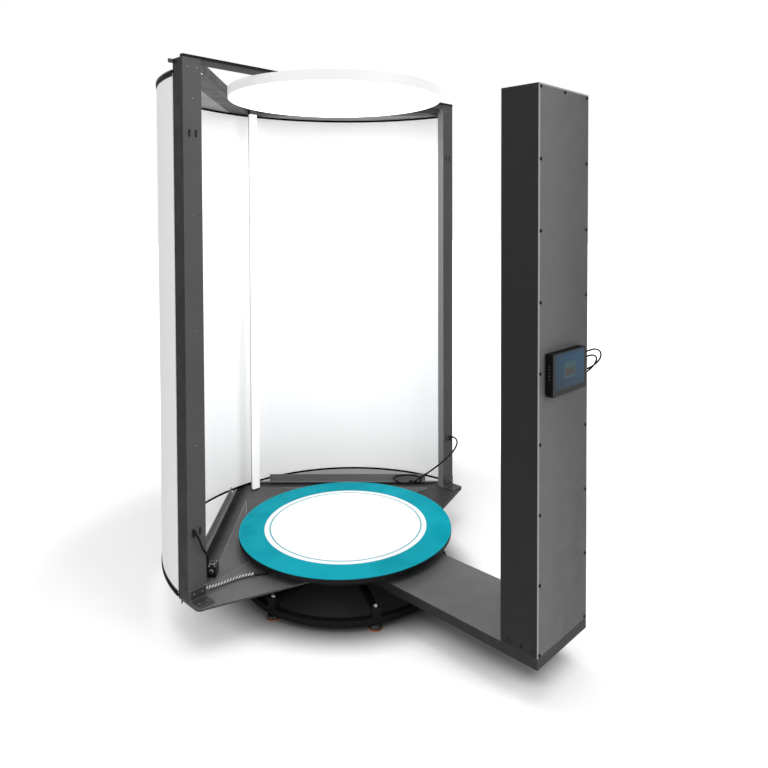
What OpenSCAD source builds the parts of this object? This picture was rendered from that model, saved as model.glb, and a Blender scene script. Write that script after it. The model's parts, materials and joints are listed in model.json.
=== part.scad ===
// Body scanner: a round turntable in front of a half-round white screen, with a sensor column on a tray.
// The origin is on the floor under the turntable's axis. The column stands at -Y and the screen at +Y.

/* [Turntable] */
// Diameter of the rotating platform
disc_d = 1000; // [960:10:1040]
// Height of the platform's folded rim and top plate together
rim_h = 17; // [14:1:20]
// Thickness of the platform's top plate
platform_t = 6; // [4:1:8]
// Thickness of the platform's rim wall
rim_wall = 12; // [10:1:16]
// Thickness of the printed top mat
mat_t = 3; // [1:0.5:5]
// Free height between the base deck and the platform's rim
deck_gap = 29; // [28:1:36]
// Diameter of the fixed centre shaft
shaft_d = 50; // [40:1:60]
// Diameter of the shaft's foot flange
shaft_flange_d = 220; // [200:5:230]
// Diameter of the thrust washer
washer_d = 180; // [150:5:190]
// Inner radius of the drive drum under the platform
drum_r = 205; // [200:1:215]
// Wall of the drive drum
drum_wall = 10; // [6:1:12]
// Radius of the rubber drive roller
drive_r = 30; // [26:1:32]
// Height of the drive roller
drive_h = 14; // [10:1:15]
// Diameter of the drive motor
motor_d = 64; // [58:1:66]
// Height of the drive motor
motor_h = 42; // [38:1:43]
// Diameter of the drive roller's shaft
drive_shaft_d = 10; // [8:1:12]
// Radius of the rollers that carry the rim
rim_roller_r = 12; // [10:0.5:12.5]
// Width of those rollers
rim_roller_w = 14; // [10:1:16]
// Diameter of their axle pins
axle_d = 6; // [4:0.5:8]
// Width of their brackets
roller_bracket_w = 34; // [28:1:40]
// Thickness of a bracket's cheeks
cheek_t = 4; // [3:0.5:6]

/* [Base frame] */
// Radius of the base ring at the middle of its tube
ring_r = 472.5; // [465:0.5:480]
// Width of the ring's tube
ring_w = 30; // [26:1:34]
// Height of the tubes of the ring and its legs
tube_s = 25; // [22:1:28]
// Reach of a leg's bracket inwards from the ring's middle line
bracket_in = 18; // [16:1:22]
// Wall of the ring's tube
tube_wall = 2.5; // [2:0.5:4]
// Width of a leg
leg_w = 30; // [24:1:34]
// Angle of the inner front legs from the tray's middle line
leg_inner_angle = 27.6; // [25:0.2:30]
// Angle of the outer front legs from that line
leg_outer_angle = 82.6; // [80:0.2:85]
// Angle of the rear legs from that line
leg_rear_angle = 135; // [125:1:150]
// Height of the deck's underside above the ring
stand_h = 95; // [85:1:105]
// Radius of the pedestal on the legs
pedestal_r = 140; // [120:5:160]
// Radius of the pedestal's top plate
flange_r = 380; // [370:5:390]
// Thickness of the pedestal's top plate
flange_h = 8; // [6:1:10]
// Radius of the hub plate
hub_r = 250; // [240:5:280]
// Thickness of the hub plate
hub_t = 6; // [5:1:8]
// Width of the upright bracket that carries the end of a leg
bracket_w = 36; // [32:1:40]
// Height of that bracket over the ring
bracket_h = 41; // [38:1:44]
// Height of the deck: the tray, the beams and the arm plates
deck_h = 38; // [36:1:44]
// Thickness of the arm plates
arm_t = 8; // [6:1:12]
// Thickness of the infill panels
panel_t = 4; // [3:0.5:6]
// Thickness of the folded sheets of the base
sheet_t = 3; // [2:0.5:4]

/* [Levelling feet] */
// Height of a foot from the floor to the base ring
foot_h = 22; // [20:1:28]
// Diameter of a foot under the ring
foot_d = 60; // [50:1:66]
// Diameter of a foot under the deck
deck_foot_d = 38; // [32:1:44]
// Height of the rubber pad under a foot
pad_h = 6; // [5:1:9]
// Diameter of the levelling studs
stud_d = 12; // [8:1:13]
// Height of a stud's lock nut
nut_h = 8; // [6:1:9]
// Width of a lock nut across its corners
nut_d = 21; // [18:1:22]
// Length of stud above a lock nut
stud_over = 4; // [3:1:8]

/* [Posts and beams] */
// Distance of the posts' outer faces inside the screen's radius
post_inset = 4.5; // [2:0.5:8]
// Front face of the posts behind the turntable axis
post_y = 10; // [4:1:16]
// Width of a post
post_w = 80; // [70:1:90]
// Depth of a post
post_d = 75; // [65:1:85]
// Height of a post's top above the floor
post_top = 2304; // [2280:1:2330]
// Depth of a post's inner lip
inner_lip = 38; // [36:1:45]
// Width of a post's rear lip, which carries the screen
rear_lip = 32; // [24:1:40]
// Distance of the slanted beams' rear vertex outside the screen's radius
vertex_out = 23.5; // [14:0.5:34]
// Width of the slanted beams
beam_w = 95; // [88:1:102]
// Height of the slanted beams' outer lip
beam_lip_h = 40; // [34:1:46]
// Height of the slanted top beams
top_beam_h = 44; // [40:1:50]
// Height of the cross beam's web
web_h = 25; // [20:1:30]
// Thickness of the top rail
rail_t = 10; // [6:1:14]
// Width of a cable slot
slot_w = 12; // [10:1:14]
// Length of a cable slot
slot_l = 32; // [26:1:38]
// Distance between the two cable slots of a pair
slot_pitch = 28; // [24:1:32]
// Height of the lower cable slots
slot_low_z = 449; // [440:1:480]
// Distance of the upper cable slots below the posts' tops
slot_drop = 292; // [260:1:320]

/* [Screen and lights] */
// Radius of the screen at the middle of its sheet
screen_r = 827.5; // [826:0.5:829]
// Place of the screen's centre behind the turntable axis
screen_y = 8; // [6:1:10]
// Thickness of the screen sheet
screen_t = 3; // [2:0.5:4]
// Height of the black trim along the screen's edges
trim_h = 10; // [8:1:14]
// Width of that trim
trim_w = 9; // [7:1:10]
// Diameter of the round ceiling lamp
lamp_d = 1000; // [960:2:1008]
// Height of the lamp's rim
lamp_h = 42; // [36:1:48]
// Wall of the lamp's rim
lamp_wall = 5; // [3:1:8]
// Thickness of the lamp's diffuser
lamp_glass_t = 4; // [3:1:6]
// Gap between the lamp's rim and the slanted top beams
lamp_gap = 4.5; // [3:0.5:12]
// Width of the upright light bar
bar_w = 42; // [38:1:46]
// Depth of the light bar's diffuser
bar_front_d = 11; // [8:1:14]
// Depth of the light bar's metal channel
bar_back_d = 13; // [10:1:16]
// Height of the light bar's foot
bar_foot_h = 10; // [6:1:14]

/* [Column] */
// Width of the column
column_w = 340; // [330:1:350]
// Depth of the column without its back cover
column_d = 148; // [142:1:165]
// Distance of the column's rear edge from the turntable axis
column_y = 1146; // [1120:1:1180]
// Height of the column's top above the floor
column_top = 2130; // [2100:1:2160]
// Sheet thickness of the column
column_t = 2; // [1.5:0.5:3]
// Thickness of the back cover
cover_t = 2; // [1.5:0.5:3]
// Number of screws down each side of the back cover
cover_screws_n = 9; // [5:1:11]
// Number of scan windows
window_n = 4; // [2:1:5]
// Width of a scan window
window_w = 220; // [200:5:240]
// Height of a scan window
window_h = 240; // [200:5:280]
// Thickness of the window glass
window_t = 3; // [2:0.5:4]

/* [Monitor] */
// Width of the monitor
monitor_w = 230; // [220:1:236]
// Height of the monitor
monitor_h = 147; // [143:1:152]
// Thickness of the monitor
monitor_d = 28; // [26:1:30]
// Height of the monitor's middle
monitor_z = 1145; // [1136:1:1154]
// Width of the lit screen
display_w = 198; // [180:1:200]
// Height of the lit screen
display_h = 123; // [115:1:126]
// Diameter of a monitor key
key_d = 5; // [4:0.5:6]
// Distance from key to key
key_pitch = 11.5; // [9:0.5:13]
// Length of a key that stands out of the case
key_out = 1.4; // [1:0.1:2]

/* [Fit] */
// Radial clearance of bores round pins and screws
fit_clear = 0.05; // [0.03:0.01:0.1]
// Gap between faces that run past each other
run_gap = 0.3; // [0.2:0.1:0.6]
// Diameter of a sheet metal screw's shank
screw_d = 5; // [4:0.5:6]
// Diameter of a screw's head
screw_head_d = 9; // [8:0.5:11]
// Height of a screw's head
screw_head_h = 3; // [2:0.5:4]

/* [Hidden] */
$fn = 96;
eps = 0.01;

// Heights from the floor up
ring_z0 = foot_h;
ring_z1 = ring_z0 + tube_s;
leg_z1 = ring_z1 + bracket_h;
leg_z0 = leg_z1 - tube_s;
deck_z0 = ring_z1 + stand_h;
hub_z1 = deck_z0 + hub_t;
deck_z1 = deck_z0 + deck_h;
arm_z0 = deck_z1 - arm_t;
rim_z0 = deck_z1 + deck_gap;
platform_z1 = rim_z0 + rim_h;
platform_z0 = platform_z1 - platform_t;
top_beam_z0 = post_top - top_beam_h;
screen_z0 = deck_z1 + trim_h;
screen_z1 = top_beam_z0 - trim_h;
lamp_top = post_top - web_h;
lamp_z0 = lamp_top - lamp_h;

// Posts and slanted beams: the beams run from post to post over the rear vertex
post_x = screen_r - post_inset;
vertex_y = screen_r + vertex_out;
slot_high_z = post_top - slot_drop;
post_rear = post_y + post_d;
post_in = post_x - post_w;
post_mid = post_x - post_w / 2;
lug_out = 20;
lug_h = 16;
top_wall_in = 22;
rail_lap = 2;
rail_depth = 22;
beam_y0 = post_rear + 1;
beam_from = [-post_mid, post_y + post_d / 2];
beam_dir = unit([post_mid, vertex_y - beam_from.y]);
beam_normal = [-beam_dir.y, beam_dir.x];
rear_end_out = 29;
beam_rear_y = vertex_y + rear_end_out;
beam_lip_start = 150;
beam_lip_end = 66;
beam_lip_y = [beam_lip_start, vertex_y - beam_lip_end];
lamp_y = vertex_y - (lamp_d / 2 + lamp_gap + beam_w / 2) / beam_dir.x;
function beam_x(k, y) =
    beam_from.x + k * beam_normal.x + (y - beam_from.y - k * beam_normal.y) * beam_dir.x / beam_dir.y;
function beam_y(k, x) =
    beam_from.y + k * beam_normal.y + (x - beam_from.x - k * beam_normal.x) * beam_dir.y / beam_dir.x;
inner_k = -beam_w / 2;
outer_k = beam_w / 2;

// Legs of the base and the feet under it
leg_angles = [for (a = [leg_inner_angle, leg_outer_angle, leg_rear_angle], s = [-1, 1]) 270 + s * a];
function on_ring(a) = ring_r * [cos(a), sin(a)];
ring_feet = [for (a = leg_angles) on_ring(a)];
tray_foot_in = [163, 268];
tray_foot_x = 40;
tray_feet = [for (d = tray_foot_in) [tray_foot_x, -column_y - cover_t + d]];
rear_foot_xs = [70, 600];
rear_feet = [for (x = rear_foot_xs, s = [-1, 1]) [s * x, beam_y(0, -x)]];
centre_feet = [[0, 0]];
deck_feet = concat(tray_feet, rear_feet, centre_feet);
arm_bore = 5;
cap_rim_share = 0.35;
cap_shoulder = 12;
pad_taper = 6;
cap_floor = 3;

// Arm plates and infill panels: they meet along the crease line
arm_front = -40;
arm_corner = 28;
arm_in_x = 330;
arm_in_front = 225;
arm_flange_in = 60;
arm_rib_y = -110;
arm_rib_w = 40;
arm_rib_l = 30;
crease_in = 133;
crease_from_y = 66;
crease_at = [-post_x + crease_in, crease_from_y];
crease_slope = 0.2;
function crease_y(x) = crease_at.y + (x - crease_at.x) * crease_slope;
crease_run = 18;
crease_x0 = crease_at.x + crease_run;
panel_c_run = 202;
panel_c_x = crease_x0 + panel_c_run;
panel_d_run = 140;
panel_d_y = 330;
panel_d = [panel_c_x + panel_d_run, panel_d_y];
panel_b_x = -113;

// Foot brackets and their screws
foot_bracket_w = 72;
foot_bracket_t = 6;
foot_bracket_h = 48;
foot_bracket_l = 68;
bracket_screw_x = 18;
bracket_screw_z = 28;
bracket_screw_y = 46;

// Post screws
post_screw_n = 5;
post_screw_low = 337;
post_screw_drop = 157;
post_screw_pitch = (post_top - post_screw_drop - post_screw_low) / (post_screw_n - 1);
post_screw_zs = [for (k = [0:post_screw_n - 1]) post_screw_low + k * post_screw_pitch];
post_pair_drop = 37;
post_pair_z = post_top - post_pair_drop;
post_pair_x = 20;

// Column
column_back = -column_y;
column_front = column_back + column_d;
half_col = column_w / 2;
cover_back = column_back - cover_t;
column_flange = 24;
cover_edge = 12;
cover_z0 = deck_z1 + 2;
cover_low_edge = 8;
cover_high_edge = 12;
cover_low = cover_z0 + cover_low_edge;
cover_high = column_top - cover_high_edge;
cover_pitch = (cover_high - cover_low) / (cover_screws_n - 1);
tray_end = -350;
tray_floor_l = 300;
window_pitch = (column_top - deck_z1) / window_n;
window_r = 12;
window_lap = 14;
head_w = 210;
head_h = 150;
head_d = 46;
head_gap = 14;
ear_h = 40;
ear_t = 5;
lens_d = 34;
lens_out = 8;
lens_in = 12;
lens_x = 78;
projector_d = 44;
head_front = column_front - head_gap;
head_back = head_front - head_d;
box_w = 220;
box_h = 280;
box_gap = 6;

// Monitor
mount_w = 100;
mount_t = 4;
monitor_back = cover_back - mount_t;
monitor_front = monitor_back - monitor_d;
monitor_r = 5;
monitor_side = monitor_w / 2;
monitor_x = -14;
display_up = 8;
display_t = 1.5;
key_n = 5;
shaft_short = 8;
key_up = 10;
key_z = monitor_z + key_up;
key_in = 4;
key_room = 2;
key_y = (monitor_back + monitor_front) / 2;
plug_l = 12;
plug_w = 12;
plug_d = 8;
plug_zs = [47, 29];

// Turntable drive
motor_x = -(drum_r - drive_r);
flange_t = 8;
washer_t = 6;
hub_sleeve_d = 120;
hub_web_t = 8;
drum_gap = 3;
drum_z0 = hub_z1 + motor_h + drum_gap;
drive_z0 = drum_z0 + 2;
motor_gland_d = 18;
motor_gland_l = 18;
gland_clear = 1.5;
gland_z = drum_z0 - motor_gland_d / 2 - gland_clear;
motor_bore_floor = 12;

// Rim rollers
rim_roller_angles = [167, 13, 270];
rim_roller_in = 55;
rim_roller_mid = disc_d / 2 - rim_roller_in;
rim_roller_z = platform_z0 - run_gap - rim_roller_r;
roller_slack = 1;
bracket_base_t = 3;
bracket_over = 6;
bracket_top = rim_roller_z + bracket_over;

// Light bar
bar_off = 26;
bar_y2 = beam_y(inner_k, 0) - bar_off;
bar_y1 = bar_y2 - bar_back_d;
bar_y0 = bar_y1 - bar_front_d;
bar_z0 = deck_z1 + bar_foot_h;
bar_z1 = top_beam_z0 - bar_foot_h;
bar_inset = 1;
bar_bracket_h = 22;

// Cables: points that each route passes through
left_cord_d = 9;
left_route = [
    [26, -8, 276], [26, -22, 270], [33, -28, 252], [45, -26, 222], [61, -18, 192], [79, -10, 168],
    [92, 8, 132], [105, 32, 100], [119, 56, 70], [133, 72, 44], [146, 85, 30], [163, 100, 27]];
left_cord = [for (p = left_route) [p.x - post_x, p.y + post_y, p.z + deck_z1]];
right_cord_d = 9;
right_route = [
    [-26, -8, 275], [-20, -24, 275], [-11, -36, 264], [-10, -40, 242], [-36, -41, 213], [-88, -36, 183],
    [-130, -8, 145], [-148, 40, 101], [-165, 90, 60], [-182, 130, 27], [-197, 162, 11], [-217, 211, 13],
    [-218, 252, 22], [-192, 243, 34], [-157, 180, 45], [-135, 136, 40], [-133, 118, 26], [-143, 132, 13],
    [-151, 156, 10], [-155, 178, 13]];
right_cord = [for (p = right_route) [p.x + post_x, p.y + post_y, p.z + deck_z1]];
post_gland_d = 18;
post_gland_up = 14;
post_gland_z = deck_z1 + post_gland_up;
post_gland_y = 30;
post_gland_l = 8;
conduit_d = 15;
conduit_from = -post_in + post_gland_l;
conduit_span = motor_x - motor_d / 2 - motor_gland_l - conduit_from;
conduit_route = [
    [0, 30, 14], [0.0412, 30, 13], [0.0882, 29, 10], [0.1667, 26, 8.4], [0.2647, 21, 7.9],
    [0.3431, 10, 7.9], [0.4216, -10, 7.9], [0.5, -32, 7.9], [0.598, -42, 7.9], [0.7157, -34, 7.9],
    [0.8333, -14, 7.4], [0.9314, 0, 3.2], [1, 0, gland_z - deck_z1]];
conduit = [for (p = conduit_route) [conduit_from + p.x * conduit_span, p.y, p.z + deck_z1]];
monitor_cable_d = 6.5;
cable_from = monitor_x + monitor_side + plug_l;
route_a = [
    [cable_from, -1166, 47], [142, -1166, 48], [184, -1168, 48], [216, -1170, 40], [238, -1168, 24],
    [246, -1160, 2], [240, -1146, -18], [224, -1128, -34], [204, -1112, -42], [178, -1106, -44]];
route_b = [
    [cable_from, -1166, 29], [140, -1166, 29], [176, -1167, 27], [202, -1166, 17], [218, -1160, 1],
    [222, -1148, -20], [216, -1132, -40], [202, -1116, -56], [190, -1106, -63], [178, -1104, -64]];
cable_a = [for (p = route_a) [p.x, p.y, p.z + monitor_z]];
cable_b = [for (p = route_b) [p.x, p.y, p.z + monitor_z]];
side_gland_y = -1105;
side_gland_drop = [44, 64];
side_gland_zs = [for (d = side_gland_drop) monitor_z - d];
side_gland_d = 12;
side_gland_l = 8;
loop_grommet_in = 155;
loop_grommet_y = 190;
grommet_rim = 8;
loop_grommet = [post_x - loop_grommet_in, loop_grommet_y];
loop_grommet_d = 20;
loop_grommet_h = 10;
junction_in = 183;
junction_y = 130;
junction_at = [-post_x + junction_in, junction_y];
junction_l = 56;
junction_w = 36;
junction_h = 42;
slot_grommet_out = 8;

// A block between two corners
module block(a, b) {
    translate(a) cube(b - a);
}

// A ring of rectangular section
module ring(r_out, r_in, z0, z1) {
    difference() {
        translate([0, 0, z0]) cylinder(r = r_out, h = z1 - z0, $fn = 180);
        translate([0, 0, z0 - 1]) cylinder(r = r_in, h = z1 - z0 + 2, $fn = 180);
    }
}

// A rectangle with round corners, about the origin
module round_rect(w, h, r) {
    square([w - 2 * r, h], center = true);
    square([w, h - 2 * r], center = true);
    for (x = [-1, 1], y = [-1, 1]) translate([x * (w / 2 - r), y * (h / 2 - r)]) circle(r, $fn = 32);
}

// A straight strip from one plan point to another
module strip(a, b, w) {
    d = b - a;
    translate(a) rotate(atan2(d.y, d.x)) translate([0, -w / 2]) square([norm(d), w]);
}

// Draws its children on the left side and mirrored on the right
module both_sides() {
    children();
    mirror([1, 0, 0]) children();
}

// A round bar along -Y from the point at, as long as l
module bar_y(at, d, l) {
    translate(at) rotate([90, 0, 0]) cylinder(d = d, h = l, $fn = 32);
}

// A screw along Y: its head stands towards -Y from the face at the point at
module screw_y(at, grip) {
    bar_y(at, screw_head_d, screw_head_h);
    bar_y(at + [0, grip, 0], screw_d, grip + eps);
}

// The bore for that screw
module screw_bore_y(at, grip) {
    bar_y(at + [0, grip + 1, 0], screw_d + 2 * fit_clear, grip + 2);
}

// Smooth curve through the points of a route
function at_end(p, i) = p[max(0, min(len(p) - 1, i))];
function spline(p, i, t) =
    let (a = at_end(p, i - 1), b = p[i], c = at_end(p, i + 1), d = at_end(p, i + 2))
    0.5 * (2 * b + (c - a) * t + (2 * a - 5 * b + 4 * c - d) * t * t + (3 * b - a - 3 * c + d) * t * t * t);
function route(p, steps) =
    concat([for (i = [0:len(p) - 2], k = [0:steps - 1]) spline(p, i, k / steps)], [p[len(p) - 1]]);
function unit(v) = v / norm(v);
function tangent(q, i) = unit(at_end(q, i + 1) - at_end(q, i - 1));

// A round cable swept along a route, with its section set square to the route by the side vector
module cable(points, d, side, steps = 2, sides = 8) {
    q = route(points, steps);
    n = len(q);
    rings = [for (i = [0:n - 1])
        let (t = tangent(q, i), u = unit(cross(t, side)), v = cross(t, u))
        for (k = [0:sides - 1]) q[i] + d / 2 * (cos(360 * k / sides) * u + sin(360 * k / sides) * v)];
    skin = [for (i = [0:n - 2], k = [0:sides - 1])
        let (a = i * sides + k, b = i * sides + (k + 1) % sides)
        for (f = [[a, a + sides, b], [b, a + sides, b + sides]]) f];
    first = [for (k = [1:sides - 2]) [0, k, k + 1]];
    last = [for (k = [1:sides - 2]) [(n - 1) * sides, (n - 1) * sides + k + 1, (n - 1) * sides + k]];
    polyhedron(points = rings, faces = concat(skin, first, last));
}

// Base: ring, legs and feet

module base_ring() {
    color("dimgray")
    difference() {
        ring(ring_r + ring_w / 2, ring_r - ring_w / 2, ring_z0, ring_z1);
        ring(ring_r + ring_w / 2 - tube_wall, ring_r - ring_w / 2 + tube_wall, ring_z0 + tube_wall,
            ring_z1 - tube_wall);
        foot_bores(ring_feet, ring_z0, tube_s);
    }
}

// Bores for the studs of some feet, through a plate that starts at z0
module foot_bores(feet, z0, t) {
    for (p = feet) translate([p.x, p.y, z0 - 1]) cylinder(d = stud_d + 2 * fit_clear, h = t + 2, $fn = 32);
}

// Radial legs on upright brackets over the ring; a pedestal in their middle carries the plates under the deck
module spider_frame() {
    lap = 4;
    color("dimgray")
    difference() {
        union() {
            for (a = leg_angles)
                rotate(a) {
                    block([0, -leg_w / 2, leg_z0], [ring_r, leg_w / 2, leg_z1 - lap]);
                    block([ring_r - bracket_in, -bracket_w / 2, ring_z1],
                        [ring_r + ring_w / 2, bracket_w / 2, leg_z1]);
                }
            translate([0, 0, leg_z0 - lap]) cylinder(r = pedestal_r, h = deck_z0 - leg_z0, $fn = 180);
            translate([0, 0, deck_z0 - flange_h]) cylinder(r = flange_r, h = flange_h, $fn = 180);
            translate([0, 0, deck_z0 - lap]) cylinder(r = hub_r, h = hub_t + lap, $fn = 180);
        }
        foot_bores(ring_feet, ring_z1, bracket_h);
        foot_bores(centre_feet, leg_z0 - lap, tube_s);
    }
}

// A stud's threaded bar
module stud_bar(p, z_top) {
    translate([p.x, p.y, pad_h + cap_floor]) cylinder(d = stud_d, h = z_top - pad_h - cap_floor, $fn = 32);
}

// One stud with its lock nut
module stud(p, z_nut, z_top) {
    stud_bar(p, z_top);
    translate([p.x, p.y, z_nut]) cylinder(d = nut_d, h = nut_h, $fn = 6);
}

module foot_studs() {
    tray_nut = deck_z0 + sheet_t;
    color("silver") {
        for (p = ring_feet) stud(p, leg_z1, leg_z1 + nut_h + stud_over);
        for (p = tray_feet) stud(p, tray_nut, tray_nut + nut_h + stud_over);
        for (p = rear_feet) stud(p, deck_z1 - sheet_t - nut_h, deck_z1 - sheet_t);
        for (p = centre_feet) stud_bar(p, leg_z0 + tube_s / 2);
    }
}

// A domed cap round the foot of a stud
module foot_cap(p, d) {
    dome = foot_h - pad_h;
    low = dome * cap_rim_share;
    translate([p.x, p.y, pad_h])
        difference() {
            union() {
                cylinder(d = d, h = low, $fn = 48);
                translate([0, 0, low]) cylinder(d1 = d, d2 = stud_d + cap_shoulder, h = dome - low, $fn = 48);
            }
            translate([0, 0, cap_floor]) cylinder(d = stud_d + 2 * fit_clear, h = dome, $fn = 32);
        }
}

module foot_caps() {
    color("black") {
        for (p = ring_feet) foot_cap(p, foot_d);
        for (p = deck_feet) foot_cap(p, deck_foot_d);
    }
}

// A rubber pad under a foot
module foot_pad(p, d) {
    translate([p.x, p.y, 0]) cylinder(d1 = d - pad_taper, d2 = d - 1, h = pad_h, $fn = 48);
}

module foot_pads() {
    color("orangered") {
        for (p = ring_feet) foot_pad(p, foot_d);
        for (p = deck_feet) foot_pad(p, deck_foot_d);
    }
}

// Turntable

module centre_shaft() {
    color("silver")
    translate([0, 0, hub_z1]) {
        cylinder(d = shaft_flange_d, h = flange_t);
        cylinder(d = shaft_d, h = platform_z0 - hub_z1 - shaft_short);
    }
}

module thrust_washer() {
    z = hub_z1 + flange_t;
    color("goldenrod") ring(washer_d / 2, shaft_d / 2 + run_gap, z, z + washer_t);
}

// The platform's hub: a sleeve on the shaft, a web under the platform and the drum for the drive roller
module platform_hub() {
    z = hub_z1 + flange_t + washer_t + run_gap;
    color("silver") {
        ring(hub_sleeve_d / 2, shaft_d / 2 + fit_clear, z, platform_z0);
        ring(drum_r + drum_wall, hub_sleeve_d / 2 - 1, platform_z0 - hub_web_t, platform_z0);
        ring(drum_r + drum_wall, drum_r, drum_z0, platform_z0);
    }
}

module platform() {
    color("black") {
        translate([0, 0, platform_z0]) cylinder(d = disc_d, h = platform_t, $fn = 180);
        ring(disc_d / 2, disc_d / 2 - rim_wall, rim_z0, platform_z1);
    }
}

module platform_mat() {
    margin = 1;
    color("darkcyan") translate([0, 0, platform_z1]) cylinder(d = disc_d - 2 * margin, h = mat_t, $fn = 180);
}

module drive_motor() {
    color("dimgray")
    difference() {
        union() {
            translate([motor_x, 0, hub_z1]) cylinder(d = motor_d, h = motor_h, $fn = 64);
            translate([motor_x, 0, gland_z]) rotate([0, -90, 0])
                cylinder(d = motor_gland_d, h = motor_d / 2 + motor_gland_l, $fn = 32);
        }
        translate([motor_x, 0, hub_z1 + motor_bore_floor])
            cylinder(d = drive_shaft_d + 2 * fit_clear, h = motor_h, $fn = 32);
    }
}

module drive_roller() {
    z = hub_z1 + motor_bore_floor + 1;
    color("black") {
        translate([motor_x, 0, drive_z0]) cylinder(r = drive_r - run_gap, h = drive_h, $fn = 64);
        translate([motor_x, 0, z]) cylinder(d = drive_shaft_d, h = drive_z0 - z + 1, $fn = 32);
    }
}

// Moves its children from the X axis to the place of a rim roller
module at_rim(a) {
    rotate(a) translate([rim_roller_mid, 0, rim_roller_z]) children();
}

module rim_roller(a) {
    pin = rim_roller_w / 2 + roller_slack + cheek_t;
    color("dimgray")
    at_rim(a) rotate([0, 90, 0]) {
        cylinder(r = rim_roller_r, h = rim_roller_w, center = true, $fn = 64);
        cylinder(d = axle_d, h = 2 * pin, center = true, $fn = 32);
    }
}

module rim_roller_left() {
    rim_roller(rim_roller_angles[0]);
}

module rim_roller_right() {
    rim_roller(rim_roller_angles[1]);
}

module rim_roller_front() {
    rim_roller(rim_roller_angles[2]);
}

module roller_brackets() {
    room = rim_roller_w / 2 + roller_slack;
    foot = deck_z1 - rim_roller_z;
    color("black")
    for (a = rim_roller_angles)
        at_rim(a)
            difference() {
                union() {
                    block([-room - cheek_t, -roller_bracket_w / 2, foot],
                        [room + cheek_t, roller_bracket_w / 2, foot + bracket_base_t]);
                    for (s = [-1, 1])
                        translate([s * (room + cheek_t / 2), 0, (foot + bracket_top - rim_roller_z) / 2])
                            cube([cheek_t, roller_bracket_w, bracket_top - deck_z1], center = true);
                }
                rotate([0, 90, 0]) cylinder(d = axle_d + 2 * fit_clear, h = 4 * room, center = true, $fn = 32);
            }
}

// Arm plates, panels and beams of the base

// Plan of the left arm plate
module arm_plan() {
    polygon([[-post_x, post_rear + 1], [-post_x, arm_front], [-post_x + arm_corner, arm_front - arm_corner],
        [-arm_in_x, -arm_in_front], [-arm_in_x, crease_y(-arm_in_x)], [crease_x0, crease_y(crease_x0)],
        [beam_x(inner_k, post_rear + 1), post_rear + 1]]);
    translate([-post_x + arm_corner, arm_front]) circle(arm_corner);
}

// The plate has a rear flange, and a rib that stands on the pedestal's plate
module arm_plate() {
    difference() {
        union() {
            translate([0, 0, arm_z0]) linear_extrude(arm_t) arm_plan();
            block([-post_x + arm_flange_in, post_rear + 1 - sheet_t, deck_z0],
                [beam_x(inner_k, post_rear + 1), post_rear + 1, deck_z1]);
            block([-arm_in_x - arm_rib_l, arm_rib_y, deck_z0], [-arm_in_x, arm_rib_y + arm_rib_w, deck_z1]);
        }
        bracket_screws(screw_d + 2 * fit_clear);
    }
}

module left_arm_plate() {
    color("gray") arm_plate();
}

module right_arm_plate() {
    color("gray") mirror([1, 0, 0]) arm_plate();
}

// Light panels between the arm plates and the slanted beams, flush with both
module infill_panels() {
    color("darkgray")
    translate([0, 0, deck_z1 - panel_t])
        linear_extrude(panel_t)
            both_sides()
                polygon([[beam_x(inner_k, post_rear + 1), post_rear + 1], [crease_x0, crease_y(crease_x0)],
                    [panel_c_x, crease_y(panel_c_x)], panel_d, [panel_b_x, beam_y(inner_k, panel_b_x)]]);
}

// Plate that closes the corner at the rear vertex and reaches under the platform
module rear_gusset() {
    y = beam_y(inner_k, panel_b_x);
    color("dimgray")
    translate([0, 0, deck_z1 - sheet_t])
        linear_extrude(sheet_t)
            polygon([panel_d, [panel_b_x, y], [0, beam_y(inner_k, 0)], [-panel_b_x, y],
                [-panel_d.x, panel_d.y]]);
}

// Plan of a slanted beam between two offsets from its middle line, from the post to the middle plane
module beam_plan(k0, k1, y_from = beam_y0) {
    polygon([[beam_x(k0, y_from), y_from], [0, beam_y(k0, 0)], [0, beam_y(k1, 0)],
        [beam_x(k1, y_from), y_from]]);
}

// The part of a plan that lies ahead of the flat rear end
module before_rear_end() {
    intersection() {
        children();
        translate([-2 * post_x, 0]) square([4 * post_x, beam_rear_y]);
    }
}

// A folded beam: a flat plate at z_plate with a wall along each edge
module slanted_beam(z0, h, z_plate) {
    translate([0, 0, z_plate]) linear_extrude(sheet_t) before_rear_end() beam_plan(inner_k, outer_k);
    translate([0, 0, z0])
        linear_extrude(h)
            before_rear_end() {
                beam_plan(inner_k, inner_k + sheet_t);
                beam_plan(outer_k - sheet_t, outer_k);
            }
}

module base_beam() {
    slanted_beam(deck_z0, deck_h, deck_z1 - sheet_t);
    translate([0, 0, deck_z1 - sheet_t])
        linear_extrude(sheet_t + beam_lip_h)
            intersection() {
                beam_plan(outer_k - sheet_t, outer_k);
                translate([-post_x, beam_lip_y[0]]) square([post_x, beam_lip_y[1] - beam_lip_y[0]]);
            }
}

module left_base_beam() {
    color("dimgray") base_beam();
}

module right_base_beam() {
    color("dimgray")
    difference() {
        mirror([1, 0, 0]) base_beam();
        translate([loop_grommet.x, loop_grommet.y, deck_z0])
            cylinder(d = loop_grommet_d - grommet_rim, h = deck_h + 1, $fn = 32);
    }
}

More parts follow.
